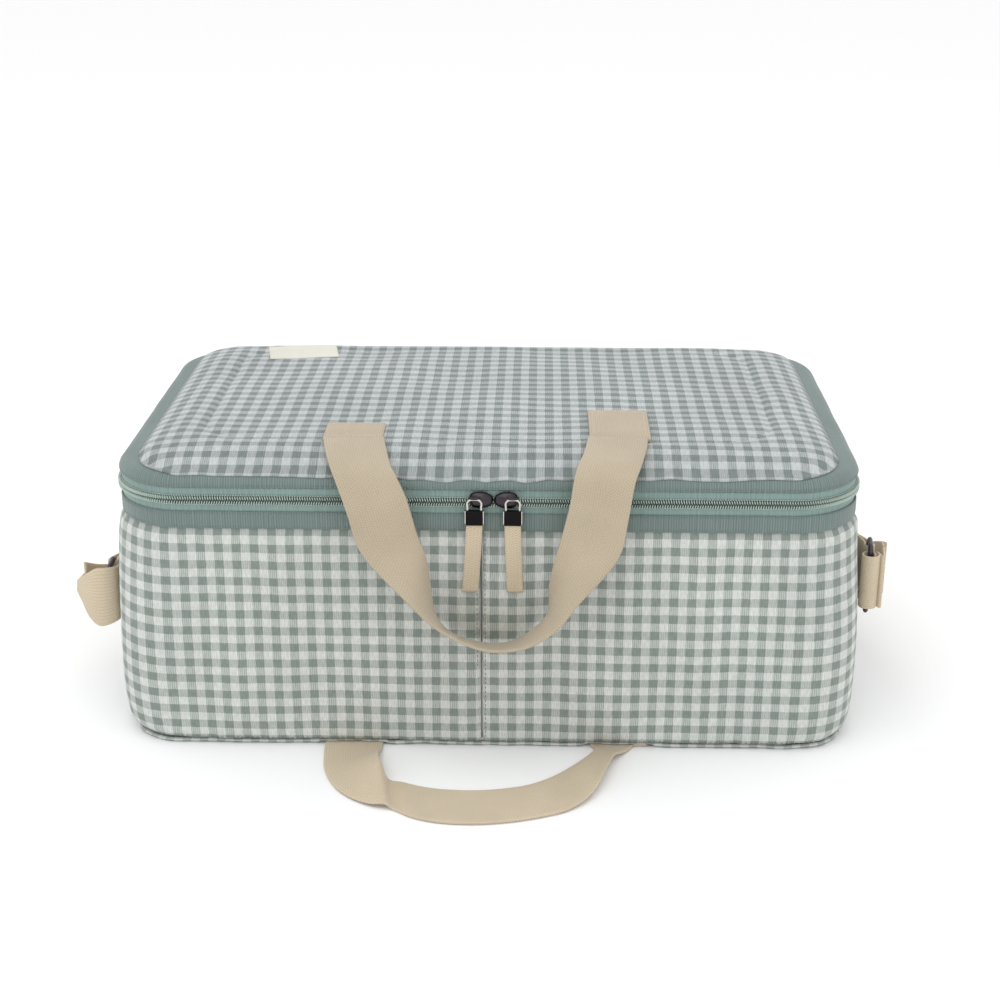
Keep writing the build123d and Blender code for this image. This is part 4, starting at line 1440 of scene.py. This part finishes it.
class COOLER_OT_lid_handle(bpy.types.Operator):
    """Webbing handle sewn to the lid and hanging over the front."""

    bl_idname = "cooler.lid_handle"
    bl_label = "Lid Handle"

    def execute(self, context):
        """Webbing between two edge curves; the lower part turns a quarter so that its width points
        forwards."""
        # The lid handle's webbing is the cream darkened by painted shade, like the lid's cloth.
        webbing = webbing_finish("Webbing Lid Painted Shade", 0.7, 0.8, None, 0.79)
        thickness = bpy.context.scene.cooler_webbing.thickness
        crown = np.zeros(len(LID_HANDLE_OUTER))
        crown[7:11], crown[15:19] = (4 * MM, 5 * MM, 4 * MM, 2 * MM), (2 * MM, 4 * MM, 5 * MM, 4 * MM)
        work = Workpiece()
        a, b = in_metres(LID_HANDLE_OUTER, LID_HANDLE_INNER)
        ribbon(work, a, b, thickness, crown=crown, columns=15, step=1.8 * MM)
        handle = work.finish("lid_handle", [webbing], None, ["lid_handle"], "webbing")
        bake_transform(handle)

        thread = thread_finish("Cream Thread", (0.62, 0.56, 0.45))
        work, seams = Workpiece(), Workpiece()
        for left, right, front, back in ((-104.2, -66.2, -106.5, -76.0), (65.0, 104.0, -102.5, -45.0)):
            count = 9
            deep = np.linspace(back, front, count)
            a = on_lid(np.stack([np.full(count, left), deep, 0 * deep], -1), 1.1 * MM)
            b = on_lid(np.stack([np.full(count, right), deep, 0 * deep], -1), 1.1 * MM)
            level = np.maximum(a[:, 2], b[:, 2])
            a[:, 2] = b[:, 2] = np.minimum(level, LID_TOP + 1.4 * MM)
            ribbon(work, a, b, thickness, columns=13, step=2 * MM)
            top = level.max() + 0.95 * MM
            box = [
                (left + 3, back - 3), (right - 3, back - 3), (right - 3, front + 6), (left + 3, front + 6),
                (left + 3, back - 3)
            ]
            line = np.concatenate(
                [np.linspace(p, q, 30)[:-1] for p, q in zip(box[:-1], box[1:])] + [[box[-1]]]
            )
            height = np.interp(line[:, 1], deep[::-1], a[::-1, 2] / MM) * MM + 0.95 * MM
            path = np.column_stack([line * MM, np.minimum(height, top)])
            sew(seams, path, np.broadcast_to([0, 0, 1.0], path.shape))
        work.finish("lid_handle_ends", [webbing], "lid", ["lid_handle_ends"], "webbing")
        seams.finish("lid_handle_stitches", [thread], "lid", (), "webbing")
        return {"FINISHED"}


BASE_HANDLE_OUTER = [
    (-105.5, -139, 1.3), (-104.6, -155, 1.3), (-102.5, -172, 1.3), (-97.5, -187, 1.3), (-90.0, -200, 1.4),
    (
        -79.0, -210.5, 1.6
    ), (-68.0, -217.0, 2.6), (-59.5, -219.5, 4.2), (-55.0, -220.5, 1.6), (-44.0, -228, 1.3),
    (-30.0, -233.5, 1.3), (-15.0, -235.6, 1.3), (0, -235.4, 1.3), (18.0, -232.5, 1.3), (36.0, -227.0, 1.4),
    (54.0, -218.5, 2.0), (67.0, -205.5, 4.5), (75.0, -188.5, 8.0), (80.0, -172.0, 8.5), (85.0, -158.0, 6.0),
    (91.0, -149.0, 2.5), (97.0, -139.0, 1.3),
]
BASE_HANDLE_INNER = [
    (-67.5, -139, 1.3), (-67.3, -146, 1.6), (-67.5, -152, 3.0), (-68.0, -159, 6.5), (-68.0, -166, 10.0),
    (-67.5, -172, 12.5), (
        -67.0, -177.5, 13.0
    ), (-65.0, -181.5, 10.0), (-62.0, -184.0, 2.2), (-50.0, -189.5, 1.3),
    (
        -34.0, -195.5, 1.3
    ), (-17.0, -197.8, 1.3), (-1.0, -197.6, 1.3), (14.0, -195.0, 1.3), (28.0, -190.5, 1.3),
    (42.0, -181.5, 1.4), (53.0, -171.0, 1.6), (61.5, -161.0, 1.8), (68.0, -152.5, 2.0), (71.0, -146.5, 2.0),
    (70.0, -142.5, 1.6), (68.0, -139.0, 1.3),
]


class COOLER_OT_base_handle(bpy.types.Operator):
    """Webbing handle sewn under the base and lying in front of the bag."""

    bl_idname = "cooler.base_handle"
    bl_label = "Base Handle"

    def execute(self, context):
        """Webbing between two edge curves on the floor, buckled where it turns."""
        webbing = webbing_finish()
        thickness = bpy.context.scene.cooler_webbing.thickness
        work = Workpiece()
        a, b = in_metres(BASE_HANDLE_OUTER, BASE_HANDLE_INNER)
        ribbon(work, a, b, thickness, columns=15, step=1.8 * MM)
        handle = work.finish("base_handle", [webbing], None, ["base_handle"], "webbing")
        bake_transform(handle)
        work = Workpiece()
        for x in (-87.0, 87.0):
            deep = np.linspace(-48, -138.9, 12)
            z = np.full_like(deep, 1.55)
            a = np.stack([np.full_like(deep, x - 18.7), deep, z], -1) * MM
            b = np.stack([np.full_like(deep, x + 18.7), deep, z], -1) * MM
            ribbon(work, a, b, thickness, columns=9, step=4 * MM)
        work.finish("base_handle_ends", [webbing], "bag", ["base_handle_ends"], "webbing")
        return {"FINISHED"}


def upright_ribbon(
    work, plan_points, drop, thickness, half, columns=11, step=1.5 * MM, lean=0.0, flip=False
):
    """Webbing stood on edge along a plan line: its centre height follows drop, its lower edge leans out."""
    plan_points = np.array(plan_points, float) * MM
    centre = np.asarray(drop, float) * MM * np.ones(len(plan_points))
    ahead = unit(np.gradient(plan_points, axis=0))
    out = np.stack([ahead[:, 1], -ahead[:, 0]], -1) * np.reshape(lean, (-1, 1))
    low = np.column_stack([plan_points + out * half, centre - half])
    high = np.column_stack([plan_points - out * half, centre + half])
    ribbon(work, high if flip else low, low if flip else high, thickness, columns=columns, step=step)


RING_BARS = {"left": ((-251.5, -79), (-250.5, -95)), "right": ((251.5, -79), (249.3, -95))}
RING_SHIFT = {"left": -9.0, "right": 7.0}
RING_HALF = {"left": 19.0, "right": 22.5}


LEFT_END_TOP = [
    (-246, -84, 104), (-245.4, -90, 105.5), (
        -247.2, -96.5, 106.5
    ), (-252, -99.5, 107), (-258, -99.5, 106.5),
    (-264, -97, 102.5), (-270, -92, 97), (-274.5, -86, 92.5), (-275.6, -79, 90), (-273, -70, 92),
]
LEFT_END_LOW = [
    (-246, -84, 68), (-245.4, -90, 68.5), (-247.2, -96.5, 67.5), (-253, -99.5, 65.5), (-260, -99, 64.5),
    (-266.5, -96, 70), (-271, -91.5, 78), (-275.5, -86, 84), (-276.4, -79, 82), (-274, -70, 66),
]


class COOLER_OT_rings(bpy.types.Operator):
    """Side tabs, dark metal rings and the strap's rolled ends."""

    bl_idname = "cooler.rings"
    bl_label = "Rings"

    def execute(self, context):
        """Tabs and rolls are webbing on edge along plan curves; a ring is a rounded loop of thick wire."""
        webbing = webbing_finish("Webbing Edge", 0.35, 0.7)
        steel = metal_finish("Ring Metal", (0.085, 0.07, 0.085), 0.38)
        thread = thread_finish("Cream Thread", (0.62, 0.56, 0.45))
        for side, sign in (("left", -1), ("right", 1)):
            (ix, iy), (ox, oy) = RING_BARS[side]
            middle = RING_Z / MM + RING_SHIFT[side]
            wall = 246.1
            tab = [(sign * wall, -30), (sign * wall, -50), (sign * (wall + 0.4), -62)]
            loop = [
                (
                    ix + sign * 3.1 * math.cos(t), iy + 3.1 * math.sin(t)
                ) for t in np.linspace(math.pi * 0.8, math.pi * 2.15, 7)
            ]
            back = [(sign * (wall + 3.4), -66), (sign * (wall + 2.3), -52), (sign * (wall + 2.1), -30)]
            work = Workpiece()
            droop = np.linspace(0, 1, 3).tolist() + [1] * 7 + np.linspace(1, 0, 3).tolist()
            base = RING_Z / MM + 0 * np.array(droop)
            drop = base + RING_SHIFT[side] * np.array(droop)
            upright_ribbon(work, tab + loop + back, drop, 1.6 * MM, WEBBING_HALF, flip=sign < 0)
            lines = []
            for y in (-34, -58):
                z = np.linspace(RING_Z - 16 * MM, RING_Z + 16 * MM, 24)
                lines.append(
                    np.stack([np.full_like(z, sign * (wall + 3.1) * MM), np.full_like(z, y * MM), z], -1)
                )
            work.finish(f"side_tab_{side}", [webbing], "bag", [f"side_tab_{side}"], "webbing")
            seams = Workpiece()
            for line in lines:
                sew(seams, line, np.broadcast_to([sign * 1.0, 0, 0], line.shape))
            seams.finish(f"side_tab_stitches_{side}", [thread], "bag", (), "webbing")

            high, low = middle + RING_HALF[side], middle - RING_HALF[side]
            way = np.array([ox - ix, oy - iy]) / math.hypot(ox - ix, oy - iy)
            r = 3.0
            frame_line = []
            for px, py, pz, along_way, up in (
                (ix, iy, low, 1, 1), (ix, iy, high, 1, -1), (ox, oy, high, -1, -1), (ox, oy, low, -1, 1)
            ):
                first = (px, py, pz + up * r) if (along_way * up) > 0 else (
                    px + way[0] * along_way * r, py + way[1] * along_way * r, pz
                )
                last = (
                    px + way[0] * along_way * r, py + way[1] * along_way * r, pz
                ) if (along_way * up) > 0 else (px, py, pz + up * r)
                corner = (px, py, pz)
                t = np.linspace(0, 1, 7)[:, None]
                pair = (last, first) if (along_way * up) > 0 else (last, first)
                start, end = (np.array(pair[1]), np.array(pair[0]))
                frame_line.append((start, np.array(corner), end))
            order = [frame_line[0][::-1], frame_line[1][::-1], frame_line[2][::-1], frame_line[3][::-1]]
            path = []
            for start, corner, end in order:
                t = np.linspace(0, 1, 7)[:, None]
                path.append((1 - t) ** 2 * start + 2 * t * (1 - t) * corner + t**2 * end)
            path = np.concatenate(path) * MM
            path = np.concatenate(
                [np.linspace(p, q, 4)[:-1] for p, q in zip(path, np.roll(path, -1, axis=0))]
            )
            keep = np.linalg.norm(path - np.roll(path, 1, axis=0), axis=1) > 1e-6
            path = path[keep]
            facing = np.broadcast_to([way[1], -way[0], 0.0], path.shape)
            work = Workpiece()
            round_section(work, path, facing, 1.7 * MM, 2.1 * MM, sides=12, wrap=True)
            work.finish(f"strap_ring_{side}", [steel], "bag", [f"strap_ring_{side}"], "ring_metal")

            turns = np.linspace(0, 1, 22)
            radius = 3.2 + 3.1 * turns
            angle = -0.4 + turns * 2 * math.pi * 1.16
            spiral = np.stack([ox + sign * radius * np.cos(angle), oy + radius * np.sin(angle)], -1)
            tail_x = {"left": (262.5, 264.5, 266.5), "right": (257.5, 258.6, 259.8)}[side]
            tail = np.array(
                [(sign * tail_x[0], oy - 3.5), (sign * tail_x[1], oy + 3), (sign * tail_x[2], oy + 11)]
            )
            work = Workpiece()
            if side == "left":
                a, b = in_metres(LEFT_END_TOP, LEFT_END_LOW)
                ribbon(work, b, a, 1.5 * MM, columns=13, step=1.0 * MM)
            else:
                points = np.vstack([spiral, tail])
                upright_ribbon(
                    work, points, np.full(len(points), middle), 1.5 * MM, WEBBING_HALF, step=1.0 * MM
                )
            work.finish(f"strap_end_{side}", [webbing], "bag", [f"strap_end_{side}"], "webbing")
        return {"FINISHED"}


STRAP_PLAN = [
    (-271.5, -78), (-267, -63), (-259, -40), (-254, -5), (-251, 45), (-249, 100), (-236, 160), (-200, 202),
    (-120, 222), (0, 227), (120, 222), (200, 202), (236, 160), (250, 100), (256, 45), (262, -5), (264.5, -45),
    (263, -66), (261, -80),
]
STRAP_DROP = [
    83, 75, 66, 58, 50, 41, 31, 24, 20.5, 20.0, 20.5, 24, 31, 42, 55, 72, 90, 98, 101,
]


class COOLER_OT_shoulder_strap(bpy.types.Operator):
    """Shoulder strap lying behind the bag, with its return and adjuster."""

    bl_idname = "cooler.shoulder_strap"
    bl_label = "Shoulder Strap"

    def execute(self, context):
        """Webbing on edge that runs back from both rings, drops to the floor and passes behind the bag."""
        webbing = webbing_finish("Webbing Edge", 0.35, 0.7)
        thickness = bpy.context.scene.cooler_webbing.thickness
        work = Workpiece()
        upright_ribbon(work, STRAP_PLAN, STRAP_DROP, thickness, WEBBING_HALF, step=3 * MM)
        strap = work.finish("shoulder_strap", [webbing], None, ["shoulder_strap"], "webbing")
        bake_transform(strap)

        plan = np.array(STRAP_PLAN[-1:-6:-1], float)
        drop = np.array(STRAP_DROP[-1:-6:-1], float)
        ahead = unit(np.gradient(plan, axis=0))
        outside = plan + np.stack([-ahead[:, 1], ahead[:, 0]], -1) * -2.3
        work = Workpiece()
        upright_ribbon(work, outside[1:], drop[1:], 1.5 * MM, WEBBING_HALF, step=3 * MM, flip=True)
        doubled = work.finish("strap_return", [webbing], None, ["strap_return"], "webbing")
        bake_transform(doubled)

        slide = metal_finish("Ring Metal", (0.085, 0.07, 0.085), 0.38)
        line = smooth_line(np.column_stack([plan, drop]) * MM, 60)
        spot = line[int(60 * 0.72)]
        way = unit(line[int(60 * 0.72) + 1] - line[int(60 * 0.72) - 1])
        up = unit(np.array([0, 0, 1.0]) - way * way[2])
        out = -np.cross(up, way)
        out = out if out[0] > 0 else -out
        spot = spot + out * 1.2 * MM
        work = Workpiece()
        ring = plate_loop(16 * MM, 45 * MM, 4 * MM, 60)
        path = spot + way * ring[:, :1] + up * ring[:, 1:]
        round_section(work, path, np.broadcast_to(out, path.shape), 1.9 * MM, 1.6 * MM, sides=10, wrap=True)
        bar = np.stack([spot + out * 2.6 * MM + up * h for h in np.linspace(-21 * MM, 21 * MM, 12)])
        round_section(work, bar, np.broadcast_to(out, bar.shape), 1.0 * MM, 1.8 * MM, sides=10)
        work.finish("strap_adjuster", [slide], "shoulder_strap", ["strap_adjuster"], "ring_metal")
        return {"FINISHED"}


class COOLER_OT_seams(bpy.types.Operator):
    """Stitching down the front and back seams and above the hem."""

    bl_idname = "cooler.seams"
    bl_label = "Seams"

    def execute(self, context):
        """Rows of stitches at a fixed distance from each seam, on the wall's own surface, and a thin dark cord
        along each seam as painted shade of its crease.
        """
        thread = thread_finish("Seam Thread And Crease Shade", (0.11, 0.135, 0.12))
        work = Workpiece()
        height = np.linspace(HEM_TOP + 4 * MM, BAND_LOW - 1 * MM, 160)
        for seam in (SEAM_X, BACK_SEAM):
            for shift in (-2.6 * MM, 2.4 * MM):
                points, up = wall_place(np.full_like(height, seam + shift), height, 0.05 * MM)
                sew(work, points, up)
            # A cord in the seam thread's colour along the seam's crease: painted shade of the groove.
            points, up = wall_place(np.full_like(height, seam), height, 0.15 * MM)
            round_section(work, points, up, 0.3 * MM, 0.55 * MM, sides=6)
        along = np.linspace(0, PERIMETER, 1500)
        points, up = wall_place(along, np.full_like(along, HEM_TOP + 2.2 * MM), 0.05 * MM)
        sew(work, points, up)
        work.finish("wall_stitches_and_seam_shade", [thread], "bag", (), "gingham_fabric")
        return {"FINISHED"}


class COOLER_OT_stage(bpy.types.Operator):
    """Floor, soft light and camera."""

    bl_idname = "cooler.stage"
    bl_label = "Stage"

    def execute(self, context):
        """A flat pale floor, even light from all round, a broad lamp above and a camera at the front."""
        scene, values = bpy.context.scene, bpy.context.scene.cooler_stage
        x, y = np.meshgrid(np.linspace(-8, 8, 17), np.linspace(-4, 12, 17), indexing="ij")
        work = Workpiece()
        work.grid(np.stack([x, y, 0 * x], -1), np.stack([x, y], -1))
        plain = finish(
            "Floor", lambda r: grained(r, Size=30 * MM, Tint=(0.97, 0.97, 0.97, 1), Contrast=0.01), 0.9
        )
        floor = work.finish("floor", [plain], None)

        world = bpy.data.worlds.new("Soft Light")
        world.use_nodes = True
        sky = world.node_tree.nodes["Background"]
        sky.inputs["Color"].default_value = (1.0, 1.0, 1.0, 1.0)
        sky.inputs["Strength"].default_value = values.sky
        scene.world = world
        for name, place, aim, size, power in (
            ("Softbox Above", (-0.5, -0.7, 2.3), (0, 0, 0.1), 2.2, values.key),
            ("Softbox Front", (0.9, -2.4, 1.5), (0, 0, 0.1), 1.6, values.key * 0.2),
        ):
            lamp = bpy.data.lights.new(name, "AREA")
            lamp.size, lamp.energy = size, power
            lamp.color = (0.92, 0.96, 1.0)
            holder = bpy.data.objects.new(name, lamp)
            scene.collection.objects.link(holder)
            holder.location = place
            aim_at(holder, [a - p for a, p in zip(aim, place)])

        camera = bpy.data.cameras.new("Camera")
        camera.sensor_width, camera.lens = 36, values.lens
        camera.clip_start, camera.clip_end = 0.05, 60
        holder = bpy.data.objects.new("Camera", camera)
        scene.collection.objects.link(holder)
        holder.location = (33.2 * MM, -1094.8 * MM, 549.1 * MM)
        turn, down = math.radians(1.44), math.radians(21.47)
        aim_at(holder, (-math.sin(turn) * math.cos(down), math.cos(turn) * math.cos(down), -math.sin(down)))
        scene.camera = holder
        scene.view_settings.view_transform = "Standard"
        return {"FINISHED"}


def aim_at(holder, direction):
    """Turns an object so that its minus Z follows a direction, with Y upwards."""
    vector = Vector(direction)
    holder.rotation_mode = "QUATERNION"
    holder.rotation_quaternion = vector.to_track_quat("-Z", "Y")


OPERATORS = (
    COOLER_OT_walls,
    COOLER_OT_lining,
    COOLER_OT_ribbons,
    COOLER_OT_zip,
    COOLER_OT_sliders,
    COOLER_OT_lid,
    COOLER_OT_lid_handle,
    COOLER_OT_base_handle,
    COOLER_OT_rings,
    COOLER_OT_shoulder_strap,
    COOLER_OT_seams,
    COOLER_OT_stage,
)


class COOLER_PT_sidebar(bpy.types.Panel):
    """Lists the cooler bag's pieces, sizes and colours."""

    bl_idname = "COOLER_PT_sidebar"
    bl_label = "Cooler Bag"
    bl_space_type = "VIEW_3D"
    bl_region_type = "UI"
    bl_category = "Cooler Bag"

    def draw(self, context):
        """One button for each operator, then every value."""
        for operator in OPERATORS:
            self.layout.operator(operator.bl_idname)
        for values in GROUPS.values():
            store = getattr(context.scene, next(k for k, v in GROUPS.items() if v is values))
            box = self.layout.box()
            for name in values.__annotations__:
                box.prop(store, name)


GROUPS = {
    "cooler_cloth": CoolerCloth,
    "cooler_trim": CoolerTrim,
    "cooler_webbing": CoolerWebbing,
    "cooler_stage": CoolerStage,
}


def register():
    """Adds the classes and the values."""
    for kind in (*GROUPS.values(), *OPERATORS, COOLER_PT_sidebar):
        bpy.utils.register_class(kind)
    for name, kind in GROUPS.items():
        setattr(bpy.types.Scene, name, bpy.props.PointerProperty(type=kind))


def unregister():
    """Removes them again."""
    for name in GROUPS:
        delattr(bpy.types.Scene, name)
    for kind in reversed((*GROUPS.values(), *OPERATORS, COOLER_PT_sidebar)):
        bpy.utils.unregister_class(kind)


def main():
    """Builds every piece."""
    register()
    for operator in OPERATORS:
        family, name = operator.bl_idname.split(".")
        getattr(getattr(bpy.ops, family), name)()


if __name__ == "__main__":
    main()
